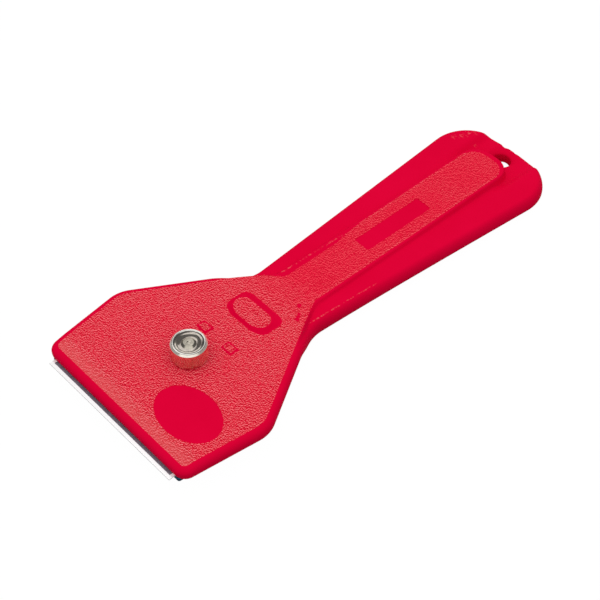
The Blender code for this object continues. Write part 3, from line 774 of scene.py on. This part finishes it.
def body_loft():
    """Upper and lower skins, welded along the outline. Material 0 is smooth and 1 is grained."""
    bm = bmesh.new()
    rows = []
    for s in stations():
        halves = columns(s)
        across = np.concatenate([-halves[:0:-1], halves])
        heights = top_height(s, np.abs(across)) - chipped(s, across)
        upper = [bm.verts.new((x, place(s), z)) for x, z in zip(across, heights)]
        lower = [bm.verts.new((x, place(s), z)) for x, z in zip(across, bottom_height(s, np.abs(across)))]
        rows.append((s, upper, lower))
    for (near_s, near_up, near_low), (far_s, far_up, far_low) in zip(rows, rows[1:]):
        middle = len(near_up) // 2
        on_top = FLAT_START - WELD <= near_s and far_s <= GRAIN_END + WELD
        for index, quad in enumerate(zip(near_up, near_up[1:], far_up[1:], far_up)):
            face = bm.faces.new(quad)
            column = index - middle if index >= middle else middle - 1 - index
            bare = index < middle and column > FLAT_STEPS - 1 - FAR_MARGIN_STEPS * far_margin(near_s)
            face.material_index = 1 if on_top and column < FLAT_STEPS and not bare else 0
        for a, b, c, d in zip(near_low, near_low[1:], far_low[1:], far_low):
            bm.faces.new((d, c, b, a))
    bmesh.ops.remove_doubles(bm, verts=bm.verts, dist=WELD)
    bmesh.ops.dissolve_degenerate(bm, edges=bm.edges, dist=SLIVER)
    bmesh.ops.recalc_face_normals(bm, faces=bm.faces)
    return bm


# Wall of a raised pad: share of the way from foot to crown, and share of the rise
PAD_WALL = [(0.0, 0.0), (0.10, 0.03), (0.24, 0.13), (0.62, 0.62), (0.78, 0.83), (0.90, 0.95), (1.0, 1.0)]


def raised_pad(name, foot, crown, rise, crown_lift):
    """Pad with smooth sloping walls and a grained, slightly crowned top."""
    bm = bmesh.new()
    sunk = [point + (point - top) * PAD_FOOT_SPREAD for point, top in zip(foot, crown)]
    levels = [[bm.verts.new((p.y, place(p.x), BODY_HEIGHT - SINK)) for p in sunk]]
    for along, up in PAD_WALL:
        points = [p.lerp(q, along) for p, q in zip(foot, crown)]
        levels.append([bm.verts.new((p.y, place(p.x), BODY_HEIGHT + up * rise(q.x)))
                       for p, q in zip(points, crown)])
    centre = sum(crown, Vector((0, 0))) / len(crown)
    tops = 6
    for step in range(1, tops):
        share = 1 - step / tops
        lift = crown_lift * (1 - share * share)
        points = [centre.lerp(p, share) for p in crown]
        levels.append([bm.verts.new((p.y, place(p.x), BODY_HEIGHT + rise(p.x) + lift)) for p in points])
    for index, (low, high) in enumerate(zip(levels, levels[1:])):
        for a, b, c, d in zip(low, low[1:] + low[:1], high[1:] + high[:1], high):
            bm.faces.new((a, b, c, d)).material_index = 1 if index >= len(PAD_WALL) else 0
    peak = bm.verts.new((centre.y, place(centre.x), BODY_HEIGHT + rise(centre.x) + crown_lift))
    for a, b in zip(levels[-1], levels[-1][1:] + levels[-1][:1]):
        bm.faces.new((a, b, peak)).material_index = 1
    bm.faces.new(levels[0])
    bmesh.ops.recalc_face_normals(bm, faces=bm.faces)
    return add_object(name, bm, [SMOOTH, GRAINED])


def pad_outline(start, end, half):
    return ring([
        (start, 0, 0),
        (start + PAD_BOW / 4, half / 2, PAD_CORNER),
        (start + PAD_BOW, half, PAD_CORNER),
        (end, half, PAD_CORNER),
        (end, 0, 0),
    ], steps=10)


def pad_rise(s):
    start, end = PAD_START + PAD_WALL_FRONT, PAD_END - PAD_WALL_REAR
    return PAD_FRONT_RISE + (PAD_REAR_RISE - PAD_FRONT_RISE) * (s - start) / (end - start)


def small_pad(name, side):
    def outline(inset):
        return oblong(SMALL_PAD_START + inset, SMALL_PAD_END - inset, side * (SMALL_PAD_INNER + inset),
                      side * (SMALL_PAD_OUTER - inset), SMALL_PAD_CORNER, steps=4)
    return raised_pad(name, outline(0), outline(SMALL_PAD_WALL), lambda s: SMALL_PAD_RISE, 0.0)


def oval(centre, half, count=72):
    turns = [2 * math.pi * step / count for step in range(count)]
    return [Vector((centre[0] + half[0] * math.cos(a), centre[1] + half[1] * math.sin(a))) for a in turns]


def handle_cores():
    bm = bmesh.new()
    rows = math.ceil((CORE_END - CORE_START + CORE_RIB) / (CORE_LONGEST + CORE_RIB))
    pitch = (CORE_END - CORE_START + CORE_RIB) / rows
    for row in range(rows):
        start = CORE_START + row * pitch
        end = start + pitch - CORE_RIB
        half = CENTRE_CORE_HALF
        add_prism(bm, oblong(start, end, -half, half, CORE_CORNER), -OVERCUT, RIB_CEILING)
        near, far = outline_half(start) - CORE_RIM, outline_half(end) - CORE_RIM
        half = CENTRE_CORE_HALF + CORE_RIB
        for side in (-1, 1):
            wing = [(start, side * half), (start, side * near), (end, side * far), (end, side * half)]
            add_prism(bm, closed_path([(*c, CORE_CORNER) for c in wing], steps=6), -OVERCUT, WING_CEILING)
    return add_object("handle_cores", bm, [SMOOTH])


def hole_rim():
    """Cutter for the soft mouth of the hanging hole: wide at the rear, tight against the rib."""
    saddle = BODY_HEIGHT - SADDLE_DROP
    above = saddle + HOLE_RIM_RISE
    steps = 12
    funnel = [(HANGING_RADIUS + HOLE_RIM * (1 - step / steps) ** HOLE_RIM_CURVE,
               saddle - HOLE_RIM_DEPTH * step / steps, 0) for step in range(steps + 1)]
    profile = [(0, above, 0), (HANGING_RADIUS + HOLE_RIM, above, 0), *funnel, (0, saddle - HOLE_RIM_DEPTH, 0)]
    rim = turned("hole_rim", profile, HANGING_POSITION, [SMOOTH], segments=96)
    middle = Vector((0, place(HANGING_POSITION)))
    for vertex in rim.data.vertices:
        arm = vertex.co.xy / MM - middle
        grown = arm.length - HANGING_RADIUS
        if grown > WELD:
            towards_rear = (1 + arm.y / arm.length) / 2
            share = HOLE_RIM_FRONT + (1 - HOLE_RIM_FRONT) * towards_rear
            arm *= (HANGING_RADIUS + grown * share) / arm.length
            vertex.co.xy = (middle + arm) * MM
    return rim


def dent(name, x, s, radius):
    """Cutter for a shallow round dent in the grained top."""
    ball = (radius * radius + DENT_DEPTH * DENT_DEPTH) / (2 * DENT_DEPTH)
    bm = bmesh.new()
    height = BODY_HEIGHT - float(rib_drop(s)) + ball - DENT_DEPTH
    bmesh.ops.create_uvsphere(bm, u_segments=96, v_segments=64, radius=ball,
                              matrix=Matrix.Translation((x, place(s), height)))
    return add_object(name, bm, [SMOOTH])


# Paleness of the grain, from wear and from painted highlight: on the head, then how much it falls to the rib,
# gains in a painted highlight band along the rib's edges and loses behind the head's front, each with the
# places s between which that happens
WEAR_HEAD = 0.60
WEAR_FALL = (0.62, 44, 60)
EDGE_HIGHLIGHT = (0.32, 52, 58)
EDGE_HIGHLIGHT_BAND = 0.6
WEAR_FRONT = (0.65, 4, 8.5)


def grain_wear_and_highlight_at(points):
    """How pale the grain is: most along the head's front, then on the head, and in a painted highlight band
    on the rib's edges.
    """
    s, x = points[:, 1] + LENGTH / 2, np.abs(points[:, 0])
    on_edge = np.clip(1 - np.abs(rib_distance(s, x) + GRAIN_MARGIN + EDGE_HIGHLIGHT_BAND / 2) / EDGE_HIGHLIGHT_BAND, 0, 1)
    fall, edge, front = [share * ramp(s, start, end)
                         for share, start, end in (WEAR_FALL, EDGE_HIGHLIGHT, WEAR_FRONT)]
    return WEAR_HEAD - fall + edge * on_edge + WEAR_FRONT[0] - front


# Pale marks on the smooth faces: start (x, s), end (x, s), half width, strength. The first two are painted
# highlight lines along the near wing's crest and the rib's far edge; the others are pale marks on the far
# lobe and along the rear edge.
SCUFFS_AND_HIGHLIGHTS = [
    ((9.6, 50.5), (10.9, 71.0), 0.24, 0.9),
    ((-6.1, 55.5), (-5.5, 75.5), 0.34, 0.85),
    ((-12.6, 122.0), (-10.4, 127.0), 1.1, 0.75),
    ((-3.2, 130.5), (-1.6, 130.5), 0.7, 2.0),
    ((0.8, 130.5), (1.2, 130.5), 0.5, 1.6),
    ((5.1, 130.3), (5.6, 130.3), 0.5, 1.8),
    ((8.0, 129.8), (8.5, 129.7), 0.5, 1.8),
    ((-7.5, 124.4), (-7.3, 124.7), 0.3, 2.0),
]
SCUFF_AND_HIGHLIGHT_LOWEST = 2.4


def scuff_and_highlight_at(points):
    """How pale the smooth faces are from scuffs and painted highlight lines: the nearest mark's strength,
    fading to its sides.
    """
    place_on = np.stack([points[:, 0], points[:, 1] + LENGTH / 2], 1)
    wear_and_highlight = np.zeros(len(points))
    for start, end, width, strength in SCUFFS_AND_HIGHLIGHTS:
        start, run = np.array(start), np.array(end) - np.array(start)
        share = np.clip(((place_on - start) @ run) / (run @ run), 0, 1)
        away = np.linalg.norm(place_on - start - share[:, None] * run, axis=1)
        wear_and_highlight = np.maximum(wear_and_highlight, strength * np.clip(1 - away / width, 0, 1))
    return wear_and_highlight * (points[:, 2] > SCUFF_AND_HIGHLIGHT_LOWEST)


def moulded_body():
    body = add_object("moulded_body", body_loft(), [SMOOTH, GRAINED])
    foot = pad_outline(PAD_START, PAD_END, PAD_HALF)
    crown = pad_outline(PAD_START + PAD_WALL_FRONT, PAD_END - PAD_WALL_REAR, PAD_HALF - PAD_WALL_SIDE)
    finger_pad = raised_pad("finger_pad", foot, crown, pad_rise, PAD_CROWN)
    near_pad, far_pad = small_pad("near_pad", 1), small_pad("far_pad", -1)
    stop_path = oblong(STOP_FRONT, STOP_FRONT + STOP_LENGTH, -STOP_HALF, STOP_HALF, CORE_CORNER)
    stop = prism("plate_stop", stop_path, STOP_LIFT, HEAD_UNDERSIDE + SINK, SMOOTH)
    start, end, half = PLATE_PLACE
    plate_place = prism("plate_place", oblong(start, end, -half, half, PLATE_PLACE_CORNER),
                        BODY_HEIGHT - PLATE_PLACE_DEPTH, BODY_HEIGHT + OVERCUT, SMOOTH)
    for vertex in plate_place.data.vertices:
        vertex.co.z -= rib_drop(vertex.co.y / MM + LENGTH / 2) * MM
    oval_place = prism("oval_place", oval(OVAL_CENTRE, OVAL_HALF),
                       BODY_HEIGHT - OVAL_DEPTH, BODY_HEIGHT + OVERCUT, SMOOTH)
    bore = cylinder("screw_bore", BORE_RADIUS, SCREW_POSITION, -OVERCUT, BODY_HEIGHT + OVERCUT, SMOOTH)
    hole = cylinder("hanging_hole", HANGING_RADIUS, HANGING_POSITION, -OVERCUT, BODY_HEIGHT, SMOOTH)
    rim = hole_rim()
    dents = [dent(f"dent_{index}", *where) for index, where in enumerate(DENTS)]
    cores = handle_cores()
    seat = prism("blade_seat", ring([
        (-OVERCUT, 0, 0),
        (-OVERCUT, FRONT_HALF, SEAT_MOUTH_CORNER),
        (SEAT_MOUTH, SEAT_HALF, SEAT_MOUTH_CORNER),
        (SEAT_REAR, SEAT_HALF, SEAT_CORNER),
        (SEAT_REAR, 0, 0),
    ], steps=4), HEAD_UNDERSIDE - OVERCUT, SEAT_FLOOR, SMOOTH)
    added = [finger_pad, near_pad, far_pad, stop]
    removed = [plate_place, oval_place, *dents, bore, cores, rim, hole, seat]
    for tool in added:
        boolean(body, tool, "UNION")
    for tool in removed:
        boolean(body, tool, "DIFFERENCE")
    settled(body)
    discard(*added, *removed)
    soften(body, degrees=32)
    points = np.empty(len(body.data.vertices) * 3, np.float32)
    body.data.vertices.foreach_get("co", points)
    # Pale marks kept as attributes: paler grain with a painted highlight band along the rib's edges, and
    # scuffs with painted highlight lines
    for name, wear_and_highlight_at in (("grain_wear_and_highlight", grain_wear_and_highlight_at), ("scuff_and_highlight", scuff_and_highlight_at)):
        wear_and_highlight = wear_and_highlight_at(points.reshape(-1, 3) / MM).astype(np.float32)
        body.data.attributes.new(name, "FLOAT", "POINT").data.foreach_set("value", wear_and_highlight)
    return body


def ground_blade():
    """Blade with one ground bevel painted near-white as a highlight; its flat is painted dark grey-blue as
    shade, its edge facet dark and its ends pale.
    """
    rear = BLADE_DEPTH - BLADE_REAR_CHAMFER
    section = [
        (0, BLADE_BOTTOM, 2), (0, BLADE_BOTTOM + BLADE_EDGE, 1), (BLADE_BEVEL, BLADE_TOP, 0),
        (rear, BLADE_TOP, 0), (BLADE_DEPTH, BLADE_TOP - BLADE_REAR_CHAMFER, 0),
        (BLADE_DEPTH, BLADE_BOTTOM + BLADE_REAR_CHAMFER, 0), (rear, BLADE_BOTTOM, 0),
    ]
    bm = bmesh.new()
    half = BLADE_WIDTH / 2
    spans = [-half, *np.linspace(BLADE_END_GRIND - half, half - BLADE_END_GRIND, BLADE_ROWS), half]
    rows = [[bm.verts.new((x, place(s), z)) for s, z, _ in section] for x in spans]
    for near, far in zip(rows, rows[1:]):
        for index in range(len(section)):
            following = (index + 1) % len(section)
            face = bm.faces.new((near[index], far[index], far[following], near[following]))
            ground_end = near is rows[0] or far is rows[-1]
            face.material_index = 3 if ground_end and section[index][2] == 0 else section[index][2]
    for row in (rows[0], rows[-1]):
        bm.faces.new(row).material_index = 3
    bmesh.ops.recalc_face_normals(bm, faces=bm.faces)
    return add_object("ground_blade", bm, [BLADE_FLAT_SHADE, GROUND_STEEL_HIGHLIGHT, EDGE_STEEL_SHADE, GROUND_END_HIGHLIGHT])


def pressed_plate():
    outline = ring([
        (PLATE_FRONT, 0, 0),
        (PLATE_FRONT, PLATE_HALF, PLATE_CORNER),
        (SHOULDER_POSITION, PLATE_HALF + PLATE_SWELL, SHOULDER_RADIUS - EDGE_ROUND),
        (PLATE_REAR, PLATE_TAIL_HALF, PLATE_CORNER),
        (PLATE_REAR, 0, 0),
    ], steps=16)
    plate = prism("pressed_clamp_plate", outline, PLATE_BOTTOM, PLATE_TOP, PLATE_SHADE_STEEL)
    bore = cylinder("plate_bore", BORE_RADIUS, SCREW_POSITION, -OVERCUT, BODY_HEIGHT, PLATE_SHADE_STEEL)
    boolean(plate, bore, "DIFFERENCE")
    rounding = plate.modifiers.new("sheared_edge", "BEVEL")
    rounding.width = PLATE_EDGE_ROUND * MM
    rounding.segments = 3
    rounding.limit_method = "ANGLE"
    rounding.angle_limit = math.radians(60)
    settled(plate)
    discard(bore)
    soften(plate, degrees=40)
    return plate


def hexagon_nut():
    """Nut chamfered at its corners on both faces, with a countersunk bore."""
    corner = NUT_ACROSS_FLATS / math.sqrt(3)
    nut = cylinder("hexagon_nut", corner, SCREW_POSITION, 0, NUT_HEIGHT, NUT_STEEL, segments=6)
    flat, wide = NUT_ACROSS_FLATS / 2 * NUT_FACE_SHARE, corner * NUT_LENS_REACH
    slope = math.tan(math.radians(NUT_CHAMFER_ANGLE))
    fall, tip = (wide - flat) * slope, flat - OVERCUT / slope
    lens = turned("nut_lens", [
        (0, NUT_HEIGHT + OVERCUT, 0), (tip, NUT_HEIGHT + OVERCUT, 0), (wide, NUT_HEIGHT - fall, 0),
        (wide, fall, 0), (tip, -OVERCUT, 0), (0, -OVERCUT, 0),
    ], SCREW_POSITION, [NUT_STEEL], segments=96)
    mouth = THREAD_BORE_RADIUS + NUT_COUNTERSINK
    bore = turned("nut_bore", [
        (0, NUT_HEIGHT + OVERCUT, 0), (mouth + OVERCUT, NUT_HEIGHT + OVERCUT, 0),
        (THREAD_BORE_RADIUS, NUT_HEIGHT - NUT_COUNTERSINK, 0), (THREAD_BORE_RADIUS, NUT_COUNTERSINK, 0),
        (mouth + OVERCUT, -OVERCUT, 0), (0, -OVERCUT, 0),
    ], SCREW_POSITION, [NUT_STEEL], segments=96)
    boolean(nut, lens, "INTERSECT")
    boolean(nut, bore, "DIFFERENCE")
    settled(nut)
    discard(lens, bore)
    soften(nut, degrees=20)
    return nut


# Geometry Nodes: the knurl round the knob and the thread on the shank


def new_tree(name, sizes):
    """Geometry node group with named inputs; gives it, their sockets inside it and their identifiers."""
    tree = bpy.data.node_groups.new(name, "GeometryNodeTree")
    tree.interface.new_socket("Geometry", in_out="OUTPUT", socket_type="NodeSocketGeometry")
    sockets = {}
    for label, value in sizes.items():
        kind = "NodeSocketInt" if isinstance(value, int) else "NodeSocketFloat"
        socket = tree.interface.new_socket(label, in_out="INPUT", socket_type=kind)
        sockets[label] = socket.identifier
    return tree, tree.nodes.new("NodeGroupInput").outputs, sockets


def grown_from(name, tree, sockets, sizes):
    """A plain mesh object from a node group with its sizes set."""
    obj = add_object(name, bmesh.new(), [])
    modifier = obj.modifiers.new(name, "NODES")
    modifier.node_group = tree
    for label, value in sizes.items():
        modifier[sockets[label]] = value
    return settled(obj)


def finish_tree(tree, geometry, size, height, skin):
    """Moves what a tree grew to the screw, makes it plain mesh and gives it its material."""
    where = node(tree, "ShaderNodeCombineXYZ")
    shift = node(tree, "GeometryNodeTransform")
    real = node(tree, "GeometryNodeRealizeInstances")
    dress = node(tree, "GeometryNodeSetMaterial", Material=skin)
    out = node(tree, "NodeGroupOutput")
    wire(tree, [
        (where.inputs["Y"], size["Along"]), (where.inputs["Z"], size[height]),
        (shift.inputs["Translation"], where.outputs["Vector"]), (shift.inputs["Geometry"], geometry),
        (real.inputs["Geometry"], shift.outputs["Geometry"]),
        (dress.inputs["Geometry"], real.outputs["Geometry"]),
        (out.inputs["Geometry"], dress.outputs["Geometry"]),
    ])


def knurl():
    """Straight knurl: one four-sided tooth set round the knob on a circle of points."""
    reach = 2 * math.pi * KNOB_RADIUS / KNURL_TEETH * KNURL_SHARE
    sizes = {
        "Teeth": KNURL_TEETH,
        "Circle Radius": (KNOB_RADIUS - reach) * MM,
        "Tooth Radius": reach * MM,
        "Tooth Length": (KNOB_TOP - KNOB_CHAMFER - KNOB_BOTTOM - KNOB_UNDER_CHAMFER) * MM,
        "Height": (KNOB_TOP - KNOB_CHAMFER + KNOB_BOTTOM + KNOB_UNDER_CHAMFER) / 2 * MM,
        "Along": place(SCREW_POSITION) * MM,
    }
    tree, size, sockets = new_tree("knurl", sizes)
    circle = node(tree, "GeometryNodeMeshCircle")
    tooth = node(tree, "GeometryNodeMeshCylinder", Vertices=4)
    turn = node(tree, "ShaderNodeCombineXYZ")
    spread = node(tree, "GeometryNodeInstanceOnPoints")
    step = maths(tree, "DIVIDE", 2 * math.pi, size["Teeth"])
    angle = maths(tree, "MULTIPLY", node(tree, "GeometryNodeInputIndex").outputs["Index"], step)
    wire(tree, [
        (circle.inputs["Vertices"], size["Teeth"]), (circle.inputs["Radius"], size["Circle Radius"]),
        (tooth.inputs["Radius"], size["Tooth Radius"]), (tooth.inputs["Depth"], size["Tooth Length"]),
        (turn.inputs["Z"], angle), (spread.inputs["Rotation"], turn.outputs["Vector"]),
        (spread.inputs["Points"], circle.outputs["Mesh"]),
        (spread.inputs["Instance"], tooth.outputs["Mesh"]),
    ])
    finish_tree(tree, spread.outputs["Instances"], size, "Height", KNURL_NICKEL_WARM)
    return grown_from("knurl", tree, sockets, sizes)


def thread():
    """Thread on the shank: a three-sided ridge swept along a helix."""
    top = PLATE_BOTTOM
    height = top - SHANK_RECESS - THREAD_PITCH
    sizes = {
        "Turns": height / THREAD_PITCH,
        "Radius": (SHANK_RADIUS - THREAD_DEPTH) * MM,
        "Ridge": THREAD_DEPTH * MM,
        "Length": height * MM,
        "Low": (SHANK_RECESS + THREAD_PITCH / 2) * MM,
        "Along": place(SCREW_POSITION) * MM,
    }
    tree, size, sockets = new_tree("thread", sizes)
    helix = node(tree, "GeometryNodeCurveSpiral", Resolution=40)
    section = node(tree, "GeometryNodeCurvePrimitiveCircle", Resolution=3)
    sweep = node(tree, "GeometryNodeCurveToMesh")
    sweep.inputs["Fill Caps"].default_value = True
    wire(tree, [
        (helix.inputs["Rotations"], size["Turns"]), (helix.inputs["Height"], size["Length"]),
        (helix.inputs["Start Radius"], size["Radius"]), (helix.inputs["End Radius"], size["Radius"]),
        (section.inputs["Radius"], size["Ridge"]), (sweep.inputs["Curve"], helix.outputs["Curve"]),
        (sweep.inputs["Profile Curve"], section.outputs["Curve"]),
    ])
    finish_tree(tree, sweep.outputs["Mesh"], size, "Low", NICKEL)
    return grown_from("thread", tree, sockets, sizes)


def thumb_screw():
    """Turned knob with a dish and a centre nub, its knurl and its threaded shank."""
    core = KNOB_RADIUS - KNURL_DEPTH
    rim = KNOB_RADIUS - KNOB_CHAMFER
    lip = rim - KNOB_LIP
    thread_root = SHANK_RADIUS - THREAD_DEPTH
    # Radius, depth below the knob's top, material: the nub, the dish round it in painted shade, the crease at
    # its edge in painted shade, then the rim, its chamfer partly painted highlight
    face = [
        (0, 0.16, 2), (0.2, 0.15, 2), (0.4, 0.11, 2), (0.6, 0.10, 2), (0.75, 0.12, 2),
        (0.85, 0.11, 2), (1.22, 0.11, 2), (1.32, 0.16, 2), (1.68, 0.44, 2), (1.74, 0.50, 3),
        (1.82, 0.50, 3), (2.2, 0.40, 3), (2.5, 0.315, 3), (2.76, 0.243, 3), (2.80, 0.21, 3),
        (2.88, 0.20, 3), (2.93, 0.195, 3), (3.2, 0.12, 1), (3.3, 0.11, 1),
        (lip, 0.08, 0), (lip + 0.05, 0.03, 0), (lip + 0.12, 0, 0), (rim - 0.06, 0, 0),
        (rim + 0.06, 0.04, 4), (KNOB_RADIUS - 0.03, KNOB_CHAMFER, 0), (core, KNOB_CHAMFER + 0.05, 0),
    ]
    profile = [(radius, KNOB_TOP - depth, skin) for radius, depth, skin in face] + [
        (core, KNOB_BOTTOM + KNOB_UNDER_CHAMFER, 0), (core - KNOB_UNDER_CHAMFER, KNOB_BOTTOM, 0),
        (SHANK_RADIUS, KNOB_BOTTOM, 0), (SHANK_RADIUS, PLATE_BOTTOM, 0),
        (thread_root, PLATE_BOTTOM - 0.2, 0), (thread_root, SHANK_RECESS + 0.1, 0),
        (thread_root - 0.1, SHANK_RECESS, 0), (0, SHANK_RECESS, 0),
    ]
    skins = [NICKEL, NICKEL_CREASE_SHADE, SATIN_NICKEL, DISH_NICKEL_SHADE, RIM_NICKEL_HIGHLIGHT]
    knob = turned("knob", profile, SCREW_POSITION, skins)
    soften(knob, degrees=25)
    teeth, ridge = knurl(), thread()
    for part in (teeth, ridge):
        part.data.shade_flat()
    return joined("knurled_thumb_screw", [knob, teeth, ridge])


PIECES = [
    (moulded_body(), "scraper_body", "scraper", "red_plastic"),
    (ground_blade(), "blade", "blade_body", "blade_steel"),
    (pressed_plate(), "clamp_plate", "clamp", "plate_steel"),
    (hexagon_nut(), "clamp_nut", "clamp", "nut_steel"),
    (thumb_screw(), "thumb_screw", "screw", "nickel_plate"),
]
for piece, cad_node, body_name, slot in PIECES:
    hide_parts(cad_node)
    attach(piece, body_name)

# Studio: a floor that looks white, soft light from the -X side, camera at the photograph's angle

FLOOR_HALF = 1500.0
FLOOR_DROP = 0.05
FLOOR_GREY = 0.34
FLOOR_GLOW = 1.06
FLOOR_GLOW_SHARE = 0.93
SKY_STRENGTH = 1.187
CAMERA_AZIMUTH, CAMERA_ELEVATION, CAMERA_ROLL = 47.8387, 47.8323, 0.1268
CAMERA_TARGET = (3.9826, -12.4739, BODY_HEIGHT)
CAMERA_DISTANCE = 344.78
CAMERA_LENS = 89.447


def highest(tree, sockets):
    top, *others = sockets
    for socket in others:
        top = maths(tree, "MAXIMUM", top, socket)
    return top


def white_where_seen(tree, lit, out_socket, paths):
    """Socket of a second shader, shown to rays of the named kinds; the rest meet the lit one."""
    rays = node(tree, "ShaderNodeLightPath").outputs
    blend = node(tree, "ShaderNodeMixShader")
    feed(tree, blend.inputs[0], highest(tree, [rays[path] for path in paths]))
    feed(tree, blend.inputs[1], lit)
    feed(tree, out_socket, blend.outputs["Shader"])
    return blend.inputs[2]


def studio_floor():
    """Grey floor that keeps the object's shadow, nearly white to the camera."""
    bm = bmesh.new()
    bmesh.ops.create_grid(bm, x_segments=8, y_segments=8, size=FLOOR_HALF,
                          matrix=Matrix.Translation((0, 0, -FLOOR_DROP)))
    made, tree, shader = new_material("studio_white")
    shader.inputs["Base Color"].default_value = (FLOOR_GREY, FLOOR_GREY, FLOOR_GREY, 1.0)
    shader.inputs["Roughness"].default_value = 0.9
    shader.inputs["Specular IOR Level"].default_value = 0.0
    lit = shader.outputs["BSDF"]
    pale = node(tree, "ShaderNodeMixShader")
    pale.inputs[0].default_value = FLOOR_GLOW_SHARE
    feed(tree, pale.inputs[1], lit)
    feed(tree, pale.inputs[2], node(tree, "ShaderNodeEmission", Strength=FLOOR_GLOW).outputs["Emission"])
    seen = white_where_seen(tree, lit, tree.nodes["Material Output"].inputs["Surface"],
                            ("Is Camera Ray", "Is Transmission Ray"))
    feed(tree, seen, pale.outputs["Shader"])
    floor = add_object("studio_floor", bm, [made])


# White panels that metal mirrors in the darker room: direction, and cosines where one fades in
PANELS = [
    ((-0.626, 0.567, 0.534), 0.945, 0.962),
    ((0.498, -0.451, 0.741), 0.62, 0.76),
    ((-0.498, 0.186, 0.847), 0.972, 0.988),
]
ROOM_LEVEL = 0.15
PANEL_LEVEL = 1.15


def mirrored_panels(tree):
    """Brightness of the room by direction, as bare metal mirrors it."""
    aim = node(tree, "ShaderNodeTexCoord").outputs["Object"]
    levels = []
    for towards, faint, full in PANELS:
        facing = node(tree, "ShaderNodeVectorMath", operation="DOT_PRODUCT")
        feed(tree, facing.inputs[0], aim)
        facing.inputs[1].default_value = Vector(towards).normalized()
        levels.append(map_range(tree, facing.outputs["Value"], faint, full, ROOM_LEVEL, PANEL_LEVEL))
    return highest(tree, levels)


# Soft light of the room by the sine of its elevation
SKY = [(0.0, 0.35), (1.0, 1.0)]


def studio_world():
    world = bpy.data.worlds.new("studio")
    bpy.context.scene.world = world
    world.use_nodes = True
    tree = world.node_tree
    lit = tree.nodes["Background"]
    rise = node(tree, "ShaderNodeSeparateXYZ")
    feed(tree, rise.inputs["Vector"], node(tree, "ShaderNodeTexCoord").outputs["Object"])
    feed(tree, lit.inputs["Color"], ramp_node(tree, rise.outputs["Z"], SKY))
    lit.inputs["Strength"].default_value = SKY_STRENGTH
    white = node(tree, "ShaderNodeBackground", Strength=1.0)
    mirrored = node(tree, "ShaderNodeLightPath").outputs["Is Glossy Ray"]
    feed(tree, white.inputs["Color"], mix(tree, mirrored, (1.0, 1.0, 1.0), mirrored_panels(tree)))
    seen = white_where_seen(tree, lit.outputs["Background"], tree.nodes["World Output"].inputs["Surface"],
                            ("Is Camera Ray", "Is Glossy Ray", "Is Transmission Ray"))
    feed(tree, seen, white.outputs["Background"])


def softbox(name, towards, distance, size, power):
    """Square area light facing the object's middle; its distance and size are in metres."""
    lamp = bpy.data.lights.new(name, "AREA")
    lamp.energy = power
    lamp.size = size
    obj = bpy.data.objects.new(name, lamp)
    obj.location = Vector(towards).normalized() * distance
    obj.rotation_euler = Vector(towards).to_track_quat("Z", "Y").to_euler()
    obj.visible_glossy = False
    bpy.context.scene.collection.objects.link(obj)


def photo_camera():
    azimuth, elevation, roll = map(math.radians, (CAMERA_AZIMUTH, CAMERA_ELEVATION, CAMERA_ROLL))
    turn = (Matrix.Rotation(azimuth, 4, "Z") @ Matrix.Rotation(math.pi / 2 - elevation, 4, "X")
            @ Matrix.Rotation(roll, 4, "Z"))
    data = bpy.data.cameras.new("photo_camera")
    data.sensor_width = 36.0
    data.lens = CAMERA_LENS
    data.clip_start = 0.01
    camera = bpy.data.objects.new("photo_camera", data)
    camera.matrix_world = (Matrix.Translation(Vector(CAMERA_TARGET) * MM) @ turn
                           @ Matrix.Translation((0, 0, CAMERA_DISTANCE * MM)))
    bpy.context.scene.collection.objects.link(camera)
    bpy.context.scene.camera = camera


studio_floor()
studio_world()
softbox("key", towards=(-0.45, 0.25, 1.0), distance=0.7, size=0.6, power=0.45)
photo_camera()
bpy.context.scene.view_settings.view_transform = "Standard"

bpy.context.view_layer.update()
